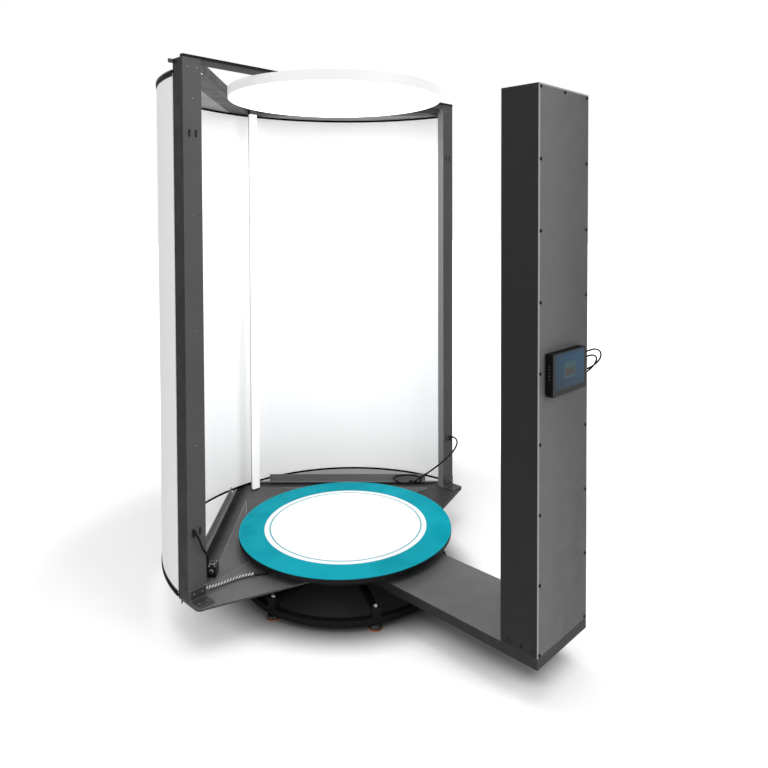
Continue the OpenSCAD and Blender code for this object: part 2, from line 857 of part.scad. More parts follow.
// The column's tray: a deck with side walls that end on the pedestal's plate, and a floor under the column
module column_tray() {
    color("dimgray")
    difference() {
        union() {
            block([-half_col, cover_back, deck_z1 - sheet_t], [half_col, tray_end, deck_z1]);
            for (x = [-half_col, half_col - sheet_t])
                block([x, cover_back, deck_z0], [x + sheet_t, tray_end, deck_z1]);
            for (y = [cover_back, tray_end - sheet_t])
                block([-half_col, y, deck_z0], [half_col, y + sheet_t, deck_z1]);
            block([-half_col, cover_back, deck_z0], [half_col, cover_back + tray_floor_l, deck_z0 + sheet_t]);
        }
        foot_bores(tray_feet, deck_z0, sheet_t);
    }
}

module foot_brackets() {
    color("dimgray")
    both_sides()
        difference() {
            union() {
                block([-post_mid - foot_bracket_w / 2, post_y - foot_bracket_t, deck_z1],
                    [-post_mid + foot_bracket_w / 2, post_y, deck_z1 + foot_bracket_h]);
                block([-post_mid - foot_bracket_w / 2, post_y - foot_bracket_l, deck_z1],
                    [-post_mid + foot_bracket_w / 2, post_y, deck_z1 + foot_bracket_t]);
            }
            bracket_screws(screw_d + 2 * fit_clear);
        }
}

// The four screws of the left foot bracket, or their bores
module bracket_screws(d, heads = false) {
    for (s = [-1, 1]) {
        up = [-post_mid + s * bracket_screw_x, post_y - foot_bracket_t, deck_z1 + bracket_screw_z];
        flat = [-post_mid + s * bracket_screw_x, post_y - bracket_screw_y, deck_z1 + foot_bracket_t];
        bar_y(up + [0, foot_bracket_t + sheet_t, 0], d, foot_bracket_t + sheet_t);
        translate(flat - [0, 0, foot_bracket_t + arm_bore])
            cylinder(d = d, h = foot_bracket_t + arm_bore, $fn = 32);
        if (heads) {
            bar_y(up, screw_head_d, screw_head_h);
            translate(flat) cylinder(d = screw_head_d, h = screw_head_h, $fn = 32);
        }
    }
}

// Puts its children at the screws of the left post's front
module post_screw_places() {
    for (z = post_screw_zs) translate([-post_mid, post_y, z]) children();
    for (s = [-1, 1]) translate([-post_mid + s * post_pair_x, post_y, post_pair_z]) children();
}

module frame_screws() {
    color("silver")
    both_sides() {
        bracket_screws(screw_d, true);
        post_screw_places() screw_y([0, 0, 0], sheet_t);
    }
}

// Posts

module post() {
    difference() {
        union() {
            block([-post_x, post_y, deck_z1], [-post_in, post_y + sheet_t, post_top]);
            block([-post_x, post_y, deck_z1], [-post_x + sheet_t, post_rear, post_top]);
            block([-post_in - sheet_t, post_y, deck_z1], [-post_in, post_y + inner_lip, post_top]);
            block([-post_x, post_rear - sheet_t, deck_z1], [-post_x + rear_lip, post_rear, post_top]);
            block([-post_x - lug_out, post_rear - sheet_t, post_top - lug_h],
                [-post_x + sheet_t, post_rear, post_top]);
        }
        post_screw_places() screw_bore_y([0, 0, 0], sheet_t);
        for (z = [slot_low_z, slot_high_z], s = [-1, 1])
            translate([-post_mid + s * slot_pitch / 2, post_y + sheet_t + 1, z]) rotate([90, 0, 0])
                linear_extrude(sheet_t + 2) slot_plan(slot_w, slot_l);
        bracket_screws(screw_d + 2 * fit_clear);
    }
}

// An upright slot with round ends
module slot_plan(w, l) {
    square([w, l - w], center = true);
    for (s = [-1, 1]) translate([0, s * (l - w) / 2]) circle(d = w, $fn = 32);
}

module left_post() {
    color("dimgray") post();
}

module right_post() {
    color("dimgray") mirror([1, 0, 0]) post();
}

// Top frame

// The inner wall of a top beam runs on to the post
module top_beam() {
    slanted_beam(top_beam_z0, top_beam_h, top_beam_z0);
    translate([0, 0, top_beam_z0])
        linear_extrude(top_beam_h)
            before_rear_end() beam_plan(inner_k, inner_k + sheet_t, post_y + top_wall_in);
}

module left_top_beam() {
    color("dimgray") top_beam();
}

module right_top_beam() {
    color("dimgray") mirror([1, 0, 0]) top_beam();
}

// The cross beam between the posts, with two tabs that hold the lamp
module cross_beam() {
    tab_x = 250;
    tab_w = 40;
    tab_l = 60;
    color("gray") {
        block([-post_in, post_y + sheet_t, post_top - web_h], [post_in, post_y + 2 * sheet_t, post_top]);
        for (x = [-tab_x, tab_x])
            block([x - tab_w / 2, post_y + sheet_t, lamp_top],
                [x + tab_w / 2, post_y + tab_l, lamp_top + sheet_t]);
    }
}

module top_rail() {
    front = post_y - rail_lap;
    color("black") block([-post_x, front, post_top], [post_x, front + rail_depth, post_top + rail_t]);
}

// Plates that close the segments between the slanted top beams and the screen
module top_segments() {
    color("darkgray")
    translate([0, 0, top_beam_z0])
        linear_extrude(sheet_t)
            both_sides()
                intersection() {
                    translate([0, screen_y]) circle(screen_r + trim_w / 2, $fn = 180);
                    polygon([[beam_x(outer_k, beam_y0), beam_y0], [0, beam_y(outer_k, 0)],
                        [-2 * post_x, beam_y(outer_k, 0)], [-2 * post_x, beam_y0]]);
                }
}

// Screen and its trims

module screen_arc(w, z0, z1) {
    intersection() {
        translate([0, screen_y, 0]) ring(screen_r + w / 2, screen_r - w / 2, z0, z1);
        translate([-2 * screen_r, post_rear, 0]) cube([4 * screen_r, 2 * screen_r, 2 * post_top]);
    }
}

module screen() {
    color("white") screen_arc(screen_t, screen_z0, screen_z1);
}

module screen_trims() {
    color("black") {
        screen_arc(trim_w, deck_z1, screen_z0);
        screen_arc(trim_w, screen_z1, top_beam_z0);
    }
}

// Lights

module lamp_housing() {
    color("white")
    translate([0, lamp_y, lamp_z0])
        difference() {
            cylinder(d = lamp_d, h = lamp_h, $fn = 180);
            translate([0, 0, -1]) cylinder(d = lamp_d - 2 * lamp_wall, h = lamp_h - lamp_wall + 1, $fn = 180);
        }
}

module lamp_diffuser() {
    color("whitesmoke")
    translate([0, lamp_y, lamp_z0])
        cylinder(d = lamp_d - 2 * (lamp_wall + run_gap), h = lamp_glass_t, $fn = 180);
}

module light_diffuser() {
    color("white") block([-bar_w / 2, bar_y0, bar_z0], [bar_w / 2, bar_y1, bar_z1]);
}

module light_channel() {
    inset = 2;
    color("silver") block([-bar_w / 2 + inset, bar_y1, bar_z0], [bar_w / 2 - inset, bar_y2, bar_z1]);
}

// The foot on the rear gusset, and the head with its wedge between the top beams
module light_brackets() {
    half = bar_w / 2 - bar_inset;
    color("dimgray") {
        block([-half, bar_y0 + bar_inset, deck_z1], [half, bar_y2, bar_z0]);
        block([-half, bar_y0 + bar_inset, bar_z1], [half, bar_y2, top_beam_z0 + bar_bracket_h]);
        translate([0, 0, top_beam_z0])
            linear_extrude(bar_bracket_h)
                polygon([[beam_x(inner_k, bar_y2), bar_y2 - bar_inset], [beam_x(inner_k, bar_y2), bar_y2],
                    [0, beam_y(inner_k, 0)], [-beam_x(inner_k, bar_y2), bar_y2],
                    [-beam_x(inner_k, bar_y2), bar_y2 - bar_inset]]);
    }
}

// Column

// Places of the back cover's screws
cover_screw_places = concat(
    [for (s = [-1, 1], k = [0:cover_screws_n - 1])
        [s * (half_col - cover_edge), cover_back, cover_low + k * cover_pitch]],
    [[0, cover_back, cover_high]]);
side_screw_edge = 18;
side_screw_pitch = 48;
side_screw_ys = [for (k = [0:2]) column_back + side_screw_edge + side_screw_pitch * k];
side_screw_z = deck_z1 + side_screw_edge;

// Middles of the scan windows
window_zs = [for (k = [0:window_n - 1]) deck_z1 + window_pitch * (k + 0.5)];

module column_shell() {
    color("black")
    difference() {
        union() {
            for (x = [-half_col, half_col - column_t])
                block([x, column_back, deck_z1], [x + column_t, column_front, column_top]);
            for (z = [deck_z1, column_top - column_t])
                block([-half_col, column_back, z], [half_col, column_front, z + column_t]);
            block([-half_col, column_front - column_t, deck_z1], [half_col, column_front, column_top]);
            for (x = [-half_col, half_col - column_flange])
                block([x, column_back, deck_z1], [x + column_flange, column_back + column_t, column_top]);
            block([-half_col, column_back, column_top - 2 * column_flange],
                [half_col, column_back + column_t, column_top]);
        }
        for (p = cover_screw_places) screw_bore_y(p, cover_t + column_t);
        for (s = [-1, 1], y = side_screw_ys) side_screw(s, y, screw_d + 2 * fit_clear);
        for (z = window_zs)
            translate([0, column_front + 1, z]) rotate([90, 0, 0])
                linear_extrude(column_t + 2) round_rect(window_w, window_h, window_r);
    }
}

// A screw through the column's side, or its bore
module side_screw(s, y, d, head = false) {
    translate([s * (half_col - column_t - 1), y, side_screw_z]) rotate([0, s * 90, 0])
        cylinder(d = d, h = column_t + (head ? 1 : 2), $fn = 32);
    if (head)
        translate([s * half_col, y, side_screw_z]) rotate([0, s * 90, 0])
            cylinder(d = screw_head_d, h = screw_head_h, $fn = 32);
}

module back_cover() {
    color("gray")
    difference() {
        block([-half_col, cover_back, cover_z0], [half_col, column_back, column_top]);
        for (p = cover_screw_places) screw_bore_y(p, cover_t + column_t);
    }
}

module cover_screws() {
    color("black") {
        for (p = cover_screw_places) screw_y(p, cover_t + column_t);
        for (s = [-1, 1], y = side_screw_ys) side_screw(s, y, screw_d, true);
    }
}

// Panes behind the windows in the column's front
module head_windows() {
    color("darkslategray")
    for (z = window_zs)
        translate([0, column_front - column_t, z]) rotate([90, 0, 0])
            linear_extrude(window_t) round_rect(window_w + 2 * window_lap, window_h + 2 * window_lap, window_r);
}

// Scan heads, each held between the column's sides by its ears
module scan_heads() {
    ear_x = half_col - column_t;
    color("dimgray")
    for (z = window_zs)
        difference() {
            union() {
                translate([0, head_front, z]) rotate([90, 0, 0])
                    linear_extrude(head_d) round_rect(head_w, head_h, 8);
                block([-ear_x, head_back, z - ear_h / 2], [ear_x, head_back + ear_t, z + ear_h / 2]);
            }
            for (x = [-lens_x, lens_x]) bar_y([x, head_front + 1, z], lens_d, lens_in + 2);
            bar_y([0, head_front + 1, z], projector_d, lens_in + 2);
        }
}

// Two camera lenses beside each projector lens
module head_lenses() {
    color("midnightblue")
    for (z = window_zs) {
        for (x = [-lens_x, lens_x])
            bar_y([x, head_front + lens_out, z], lens_d - 2 * fit_clear, lens_out + lens_in + 1);
        bar_y([0, head_front + lens_out, z], projector_d - 2 * fit_clear, lens_out + lens_in + 1);
    }
}

// Box with the computer and the power supply, on the column's floor
module control_box() {
    color("silver")
    block([-box_w / 2, column_back + box_gap, deck_z1 + column_t],
        [box_w / 2, head_back - box_gap, deck_z1 + column_t + box_h]);
}

// Monitor

module monitor_case() {
    color("black")
    translate([monitor_x, 0, 0])
    difference() {
        union() {
            translate([0, monitor_back, monitor_z]) rotate([90, 0, 0])
                linear_extrude(monitor_d) round_rect(monitor_w, monitor_h, monitor_r);
            translate([0, cover_back, monitor_z]) rotate([90, 0, 0])
                linear_extrude(mount_t + 1) round_rect(mount_w, mount_w, monitor_r);
            for (z = plug_zs)
                block([monitor_side - 1, key_y - plug_d / 2, monitor_z + z - plug_w / 2],
                    [monitor_side + plug_l, key_y + plug_d / 2, monitor_z + z + plug_w / 2]);
        }
        translate([0, monitor_front + display_t, monitor_z + display_up]) rotate([90, 0, 0])
            linear_extrude(display_t + 1)
                square([display_w + 2 * fit_clear, display_h + 2 * fit_clear], center = true);
        for (k = [1:key_n])
            translate([-monitor_side - 1, key_y, key_z + (k - 3) * key_pitch]) rotate([0, 90, 0])
                cylinder(d = key_d + 2 * fit_clear, h = key_in + key_room + 1, $fn = 32);
    }
}

module monitor_glass() {
    color("midnightblue")
    translate([monitor_x, monitor_front + display_t, monitor_z + display_up]) rotate([90, 0, 0])
        linear_extrude(display_t) square([display_w, display_h], center = true);
}

module monitor_key(k) {
    color("lightgray")
    translate([monitor_x - monitor_side - key_out, key_y, key_z + (k - 3) * key_pitch]) rotate([0, 90, 0])
        cylinder(d = key_d, h = key_out + key_in, $fn = 32);
}

// Cables and the places where they go in

module junction_box() {
    color("black")
    translate([junction_at.x, junction_at.y, deck_z1 + junction_h / 2]) rotate(atan2(beam_dir.y, beam_dir.x))
        cube([junction_l, junction_w, junction_h], center = true);
}

module cable_glands() {
    color("black") {
        for (s = [-1, 1])
            translate([s * (post_mid + slot_pitch / 2), post_y + sheet_t, slot_low_z]) rotate([90, 0, 0])
                linear_extrude(sheet_t + slot_grommet_out)
                    slot_plan(slot_w - 2 * fit_clear, slot_l - 2 * fit_clear);
        translate([-post_in, post_gland_y, post_gland_z]) rotate([0, 90, 0])
            cylinder(d = post_gland_d, h = post_gland_l, $fn = 32);
        for (z = side_gland_zs)
            translate([half_col, side_gland_y, z]) rotate([0, 90, 0])
                cylinder(d = side_gland_d, h = side_gland_l, $fn = 32);
        translate([loop_grommet.x, loop_grommet.y, deck_z1])
            cylinder(d = loop_grommet_d, h = loop_grommet_h, $fn = 32);
    }
}

module left_post_cord() {
    color("black") cable(left_cord, left_cord_d, [1, 0.4, 0]);
}

module right_post_cord() {
    color("black") cable(right_cord, right_cord_d, [0.5, 0.5, 1]);
}

module braided_conduit() {
    color("silver") cable(conduit, conduit_d, [0, 0, 1], sides = 12);
}

module monitor_cable_1() {
    color("black") cable(cable_a, monitor_cable_d, [0.2, 1, 0.1]);
}

module monitor_cable_2() {
    color("black") cable(cable_b, monitor_cable_d, [0.2, 1, 0.1]);
}

base_ring();
spider_frame();
foot_studs();
foot_caps();
foot_pads();
centre_shaft();
thrust_washer();
platform_hub();
platform();
platform_mat();
drive_motor();
drive_roller();
rim_roller_left();
rim_roller_right();
rim_roller_front();
roller_brackets();
left_arm_plate();
right_arm_plate();
infill_panels();
rear_gusset();
left_base_beam();
right_base_beam();
column_tray();
foot_brackets();
frame_screws();
left_post();
right_post();
left_top_beam();
right_top_beam();
cross_beam();
top_rail();
top_segments();
screen();
screen_trims();
light_channel();
light_diffuser();
light_brackets();
lamp_housing();
lamp_diffuser();
column_shell();
back_cover();
cover_screws();
head_windows();
scan_heads();
head_lenses();
control_box();
monitor_case();
monitor_glass();
monitor_key(1);  // monitor_key_1
monitor_key(2);  // monitor_key_2
monitor_key(3);  // monitor_key_3
monitor_key(4);  // monitor_key_4
monitor_key(5);  // monitor_key_5
junction_box();
cable_glands();
left_post_cord();
right_post_cord();
braided_conduit();
monitor_cable_1();
monitor_cable_2();
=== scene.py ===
"""Looks of a walk-in body scanner: turntable base, curved white screen with its lights, and camera column."""

import json
import logging
import math
from contextlib import contextmanager
from dataclasses import dataclass
from enum import Enum
from typing import Iterator, Sequence

import bpy
from mathutils import Euler, Matrix, Vector


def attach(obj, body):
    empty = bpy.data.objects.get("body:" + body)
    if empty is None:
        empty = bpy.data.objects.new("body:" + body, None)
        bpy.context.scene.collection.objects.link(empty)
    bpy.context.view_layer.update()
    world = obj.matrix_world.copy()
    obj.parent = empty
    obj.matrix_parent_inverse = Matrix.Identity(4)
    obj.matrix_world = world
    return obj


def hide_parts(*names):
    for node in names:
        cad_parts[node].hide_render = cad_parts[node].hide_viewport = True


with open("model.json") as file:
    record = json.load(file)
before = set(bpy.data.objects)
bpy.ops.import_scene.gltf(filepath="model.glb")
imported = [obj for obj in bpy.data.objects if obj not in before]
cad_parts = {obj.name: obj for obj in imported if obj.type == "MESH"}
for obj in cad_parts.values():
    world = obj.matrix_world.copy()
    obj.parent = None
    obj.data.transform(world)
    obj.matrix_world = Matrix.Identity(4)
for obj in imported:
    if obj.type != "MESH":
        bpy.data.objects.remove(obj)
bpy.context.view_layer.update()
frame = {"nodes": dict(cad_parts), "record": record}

LOG = logging.getLogger("scanner")
MM = 0.001
# Plan of a slanted base beam's middle line: its end at the post, and its y at the rear corner
BEAM_FROM = (0.783, 0.0475)
BEAM_REAR = 0.8510
WHITE = (1.0, 1.0, 1.0, 1.0)
# Where most of a noise's values lie
SPREAD = (0.3, 0.7)
UPWARD = Vector((0.0, 0.0, 1.0))
Colour = tuple[float, float, float]
Point = tuple[float, float, float]
Span = tuple[float, float]
Socket = bpy.types.NodeSocket
Material = bpy.types.Material
Piece = bpy.types.Object


def grey(level: float, blue: float | None = None) -> Colour:
    """A grey, or one with its own level of blue."""
    return (level, level, level if blue is None else blue)


def scaled(colour: Colour, share: float, more: float = 0.0) -> Colour:
    """A colour times a share plus a little more, at most 1."""
    return tuple(min(1.0, c * share + more) for c in colour)


class Nodes:
    """Short calls for the nodes of a material or of the world."""

    def __init__(self, owner: Material | bpy.types.World) -> None:
        """Turns on the nodes of a material or of the world.

        Args:
            owner: the material or the world.
        """
        owner.use_nodes = True
        self.nodes = owner.node_tree.nodes
        self.links = owner.node_tree.links

    def node(self, kind: str, inputs: dict | None = None, **settings: object) -> bpy.types.Node:
        """Adds a node.

        Args:
            kind: the node's type, without the ShaderNode prefix.
            inputs: values or sockets for its inputs, by name or number.
            settings: the node's own properties.

        Returns:
            The node.
        """
        made = self.nodes.new("ShaderNode" + kind)
        for key, value in settings.items():
            setattr(made, key, value)
        for key, value in (inputs or {}).items():
            self.feed(made.inputs[key], value)
        return made

    def feed(self, socket: Socket, value: object) -> None:
        """Links a socket to another one, or sets its value.

        Args:
            socket: the input.
            value: the output that feeds it, or a plain value.
        """
        if isinstance(value, Socket):
            self.links.new(value, socket)
        else:
            socket.default_value = value

    def calc(self, operation: str, a: object, b: object = 0.0, c: object = 0.0) -> Socket:
        """A Math node's result for up to three values."""
        return self.node("Math", {0: a, 1: b, 2: c}, operation=operation).outputs[0]


class Graph(Nodes):
    """Node graph of one material, with the patterns that the finishes share."""

    def __init__(self, name: str) -> None:
        """Starts a material with a Principled shader.

        Args:
            name: the material's name.
        """
        self.material = bpy.data.materials.new(name)
        super().__init__(self.material)
        self.shader = self.nodes["Principled BSDF"]
        texture = self.nodes.new("ShaderNodeTexCoord")
        self.place = texture.outputs["Object"]
        self.facing = texture.outputs["Normal"]
        self.round: Socket | None = None

    def set(self, **values: object) -> None:
        """Sets inputs of the Principled shader, with _ for a space in a name."""
        for key, value in values.items():
            self.feed(self.shader.inputs[key.replace("_", " ")], value)

    def noise(self, scale: float, detail: float = 2.0, roughness: float = 0.5,
              stretch: Point = (1.0, 1.0, 1.0)) -> Socket:
        """Noise on Object coordinates, in cycles per metre.

        Args:
            scale: how fine it is.
            detail: octaves.
            roughness: share of the fine octaves.
            stretch: scale along each axis.

        Returns:
            The noise's value, about 0.5.
        """
        place = self.node("Mapping", {"Vector": self.place, "Scale": stretch}).outputs[0]
        inputs = {"Vector": place, "Scale": scale, "Detail": detail, "Roughness": roughness}
        return self.node("TexNoise", inputs).outputs["Fac"]

    def product(self, first: object, *more: object) -> Socket:
        """The product of values.

        Args:
            first: the first value.
            more: the other values.

        Returns:
            The product.
        """
        for value in more:
            first = self.calc("MULTIPLY", first, value)
        return first

    def away(self, x: object, y: object) -> Socket:
        """The length of a step of x and y."""
        return self.calc("SQRT", self.calc("ADD", self.product(x, x), self.product(y, y)))

    def band(self, value: object, low: float, high: float, out_low: float = 0.0,
             out_high: float = 1.0) -> Socket:
        """A smooth step of a value.

        Args:
            value: what is stepped.
            low: where the step starts.
            high: where it ends.
            out_low: result below the step.
            out_high: result above it.

        Returns:
            The stepped value.
        """
        inputs = {"Value": value, "From Min": low, "From Max": high, "To Min": out_low, "To Max": out_high}
        return self.node("MapRange", inputs, interpolation_type="SMOOTHSTEP").outputs["Result"]

    def mix(self, share: object, a: object, b: object, blend: str = "MIX") -> Socket:
        """A colour between a and b.

        Args:
            share: how much of b.
            a: the first colour.
            b: the second colour.
            blend: how they mix.

        Returns:
            The mixed colour.
        """
        made = self.node("Mix", data_type="RGBA", blend_type=blend)
        self.feed(made.inputs["Factor"], share)
        for key, value in ((6, a), (7, b)):
            self.feed(made.inputs[key], value if isinstance(value, Socket) else (*value, 1.0))
        return made.outputs[2]

    def axis(self, vector: object = None) -> tuple:
        """The x, y and z of a vector, by default the Object coordinates."""
        parts = self.node("SeparateXYZ", {0: vector or self.place})
        return parts.outputs[0], parts.outputs[1], parts.outputs[2]

    def bump(self, height: object, depth: float, strength: float = 1.0) -> None:
        """Raises the surface by a height between 0 and 1.

        Args:
            height: the height.
            depth: metres from 0 to 1.
            strength: share of the effect.
        """
        made = self.node("Bump", {"Height": height, "Distance": depth, "Strength": strength})
        if self.round is not None:
            self.links.new(self.round, made.inputs["Normal"])
        self.links.new(made.outputs[0], self.shader.inputs["Normal"])

    def edges(self, radius: float) -> Socket:
        """A mask of outer edges, from the difference of the rounded and the plain normal.

        Args:
            radius: how far the rounding reaches.

        Returns:
            The mask, 1 along the edges.
        """
        self.round = self.node("Bevel", {"Radius": radius}, samples=4).outputs[0]
        plain = self.node("NewGeometry").outputs["Normal"]
        together = self.node("VectorMath", {0: self.round, 1: plain}, operation="DOT_PRODUCT").outputs["Value"]
        return self.band(together, 0.995, 0.80)


@dataclass(frozen=True)
class Finish:
    """A procedural look."""

    def build(self, name: str) -> Material:
        """Makes the look's material.

        Args:
            name: the material's name.

        Returns:
            The material.
        """
        g = Graph(name)
        self.paint(g)
        return g.material

    def paint(self, g: Graph) -> None:
        """Lays the look into a material's graph."""
        raise NotImplementedError


@dataclass(frozen=True)
class PaintedSteel(Finish):
    """Powder-coated sheet steel: fine speckled grain, faint mottling and edges lightened as paint wear and painted
    highlight, with optional painted light and shade by face direction, a painted light fade, a painted highlight strip
    and a painted gutter shade.
    """

    colour: Colour
    roughness: float = 0.5
    grain: float = 420.0
    depth: float = 0.0002
    mottle: float = 0.06
    speckle: float = 0.22
    # Share of edge lightening, as paint wear and as painted highlight
    rubbed: float = 0.35
    # Tone shares of faces turned outward and inward in x: painted shade and painted light
    flank: float = 1.0
    inner: float = 1.0
    # Tone share of side faces against tops, as painted shade
    upright: float = 1.0
    # Painted light fading across x, and its share on the lit side
    fade: float = 0.0
    fade_share: float = 1.6
    gloss: float = 0.3
    edge: float = 0.0022
    # Lightness added on the edges, as paint wear and as painted highlight
    worn: float = 0.16
    # Whether a slanted beam gets a painted gutter shade and a painted light lip
    gutter: bool = False
    # Off the beam's middle line: where the painted gutter shade deepens, and the foot, face and edge of the lip that
    # gets painted light
    dip: Span = (-0.050, 0.010)
    dip_share: float = 0.10
    lip: Point = (0.026, 0.027, 0.030)
    lip_share: float = 2.2
    # A painted highlight strip's width, the x of the side and the z of the top that it follows
    strip: Point | None = None
    strip_share: float = 4.2

    def shade(self, share: float) -> Colour:
        """The colour made darker or lighter by a share."""
        return scaled(self.colour, share)

    def hollow(self, g: Graph, tone: Socket) -> Socket:
        """Paints shade along a slanted beam's length, as a gutter, and painted light on its outer rim beside it.

        Args:
            g: the material's graph.
            tone: the plain tone.

        Returns:
            The tone with the gutter.
        """
        x, y, _ = g.axis()
        run = math.hypot(BEAM_FROM[0], BEAM_REAR - BEAM_FROM[1])
        along, rise = BEAM_FROM[0] / run, (BEAM_REAR - BEAM_FROM[1]) / run
        out = g.product(g.calc("SUBTRACT", g.calc("ABSOLUTE", x), BEAM_FROM[0]), rise)
        out = g.calc("ADD", out, g.product(g.calc("SUBTRACT", y, BEAM_FROM[1]), along))
        foot, face, edge = self.lip
        # Painted shade of the gutter and painted light on the lip
        deep = g.product(g.band(out, *self.dip), g.band(out, edge, foot))
        lit = g.mix(g.band(out, face, edge), tone, self.shade(self.lip_share))
        return g.mix(deep, lit, self.shade(self.dip_share))

    def paint(self, g: Graph) -> None:
        """Lays the paint's look.

        Args:
            g: the material's graph.
        """
        across, _, height = g.axis()
        side, _, up = g.axis(g.facing)
        fine = g.noise(self.grain, 2.0, 0.7)
        cloud = g.band(g.noise(3.0, 3.0), *SPREAD)
        tone = g.mix(cloud, self.shade(1.0 - self.mottle), self.shade(1.0 + self.mottle))
        # Painted light, lighter towards one side in x
        if self.fade > 0.0:
            tone = g.mix(g.band(across, -self.fade, self.fade), self.shade(self.fade_share), tone)
        # Faces turned outward in x get painted shade, faces turned inward get painted light
        if self.flank < 1.0:
            outward = g.product(side, g.calc("SIGN", across))
            tone = g.mix(g.band(outward, 0.6, 0.9), tone, self.shade(self.flank))
            tone = g.mix(g.band(outward, -0.6, -0.9), tone, self.shade(self.inner))
        # Painted gutter shade and lip highlight
        if self.gutter:
            tone = self.hollow(g, tone)
        # Painted highlight strip along one side and the top
        if self.strip is not None:
            wide, side_at, top_at = self.strip
            lit = g.calc("MAXIMUM", g.band(across, side_at + wide, side_at + wide * 0.5),
                         g.band(height, top_at - wide * 0.7, top_at - wide * 0.3))
            tone = g.mix(lit, tone, self.shade(self.strip_share))
        # Side faces darkened as painted shade
        if self.upright < 1.0:
            tone = g.mix(g.band(g.calc("ABSOLUTE", up), 0.7, 0.4), tone, self.shade(self.upright))
        dots = g.band(fine, *SPREAD, 1.0 - self.speckle, 1.0 + self.speckle)
        tone = g.mix(1.0, tone, g.node("CombineXYZ", {0: dots, 1: dots, 2: dots}).outputs[0], "MULTIPLY")
        # Edges lightened in patches: partly paint wear, partly painted highlight where edges catch light
        patchy = g.band(g.noise(30.0, 3.0), 0.35, 0.6, 0.5 * self.rubbed, self.rubbed)
        worn = g.product(g.edges(self.edge), patchy)
        tone = g.mix(worn, tone, scaled(self.colour, 1.5, self.worn))
        rough = g.band(g.noise(14.0, 3.0), *SPREAD, self.roughness - 0.06, self.roughness + 0.06)
        g.set(Base_Color=tone, Roughness=rough, Specular_IOR_Level=self.gloss)
        g.bump(fine, self.depth, 0.6)


@dataclass(frozen=True)
class BareMetal(Finish):
    """Bare or plated metal with fine lines from turning, drawing or brushing."""

    colour: Colour
    roughness: float = 0.28
    stretch: Point = (1.0, 1.0, 40.0)
    lines: float = 60.0

    def paint(self, g: Graph) -> None:
        """Lays the metal's look.

        Args:
            g: the material's graph.
        """
        lines = g.noise(self.lines, 3.0, 0.6, self.stretch)
        stain = g.noise(18.0, 3.0)
        tone = g.mix(g.band(stain, 0.3, 0.75), self.colour, scaled(self.colour, 0.72))
        g.set(Base_Color=tone, Metallic=1.0)
        g.set(Roughness=g.band(lines, 0.25, 0.75, self.roughness - 0.08, self.roughness + 0.12))
        g.bump(lines, 0.00008, 0.5)


@dataclass(frozen=True)
class Moulded(Finish):
    """Moulded plastic or rubber with a spark-eroded or rubbed skin."""

    colour: Colour
    roughness: float = 0.5
    grain: float = 1400.0
    depth: float = 0.00008
    dust: float = 0.25
    gloss: float = 0.35
    # A tone for faces toward -y, painted to stand for the light on them
    front: Colour | None = None

    def paint(self, g: Graph) -> None:
        """Lays the plastic's look.

        Args:
            g: the material's graph.
        """
        fine = g.noise(self.grain, 2.0, 0.6)
        dusty = g.band(g.noise(22.0, 4.0), 0.45, 0.75, 0.0, self.dust)
        tone = g.mix(dusty, self.colour, scaled(self.colour, 1.4, 0.015))
        # Faces toward -y get their own painted tone
        if self.front is not None:
            _, ahead, _ = g.axis(g.facing)
            tone = g.mix(g.band(ahead, -0.6, -0.9), tone, self.front)
        g.set(Base_Color=tone, Roughness=g.band(g.noise(60.0), *SPREAD, self.roughness - 0.07, self.roughness + 0.07))
        g.set(Specular_IOR_Level=self.gloss)
        g.bump(fine, self.depth, 0.5)


@dataclass(frozen=True)
class PrintedMat(Finish):
    """Round printed mat: a teal ring round a white middle with one thin teal line."""

    radius: float = 0.499
    ring: Colour = (0.0, 0.275, 0.350)
    pale: Colour = (0.004, 0.330, 0.412)
    white: Colour = (0.90, 0.91, 0.91)
    ring_inner: float = 0.767
    line_at: float = 0.715
    line_half: float = 0.0055
    border: float = 0.988

    def paint(self, g: Graph) -> None:
        """Lays the print's look.

        Args:
            g: the material's graph.
        """
        x, y, _ = g.axis()
        r = g.calc("DIVIDE", g.away(x, y), self.radius)
        soft = 0.0012
        teal = g.mix(g.band(g.noise(5.0, 3.0), 0.35, 0.65), self.ring, self.pale)
        middle = g.mix(g.band(g.noise(7.0, 3.0), 0.4, 0.7), self.white, scaled(self.white, 0.965))
        on_ring = g.band(r, self.ring_inner - soft, self.ring_inner + soft)
        off = g.calc("ABSOLUTE", g.calc("SUBTRACT", r, self.line_at))
        on_line = g.band(off, self.line_half + soft, self.line_half - soft)
        tone = g.mix(g.calc("MAXIMUM", on_ring, on_line), middle, teal)
        tone = g.mix(g.band(r, self.border - soft, self.border + soft), tone, self.pale)
        weave = g.noise(900.0, 2.0, 0.5)
        g.set(Base_Color=tone, Roughness=g.band(g.noise(40.0, 3.0), *SPREAD, 0.34, 0.46))
        g.set(Specular_IOR_Level=0.015)
        g.bump(weave, 0.0001, 0.5)


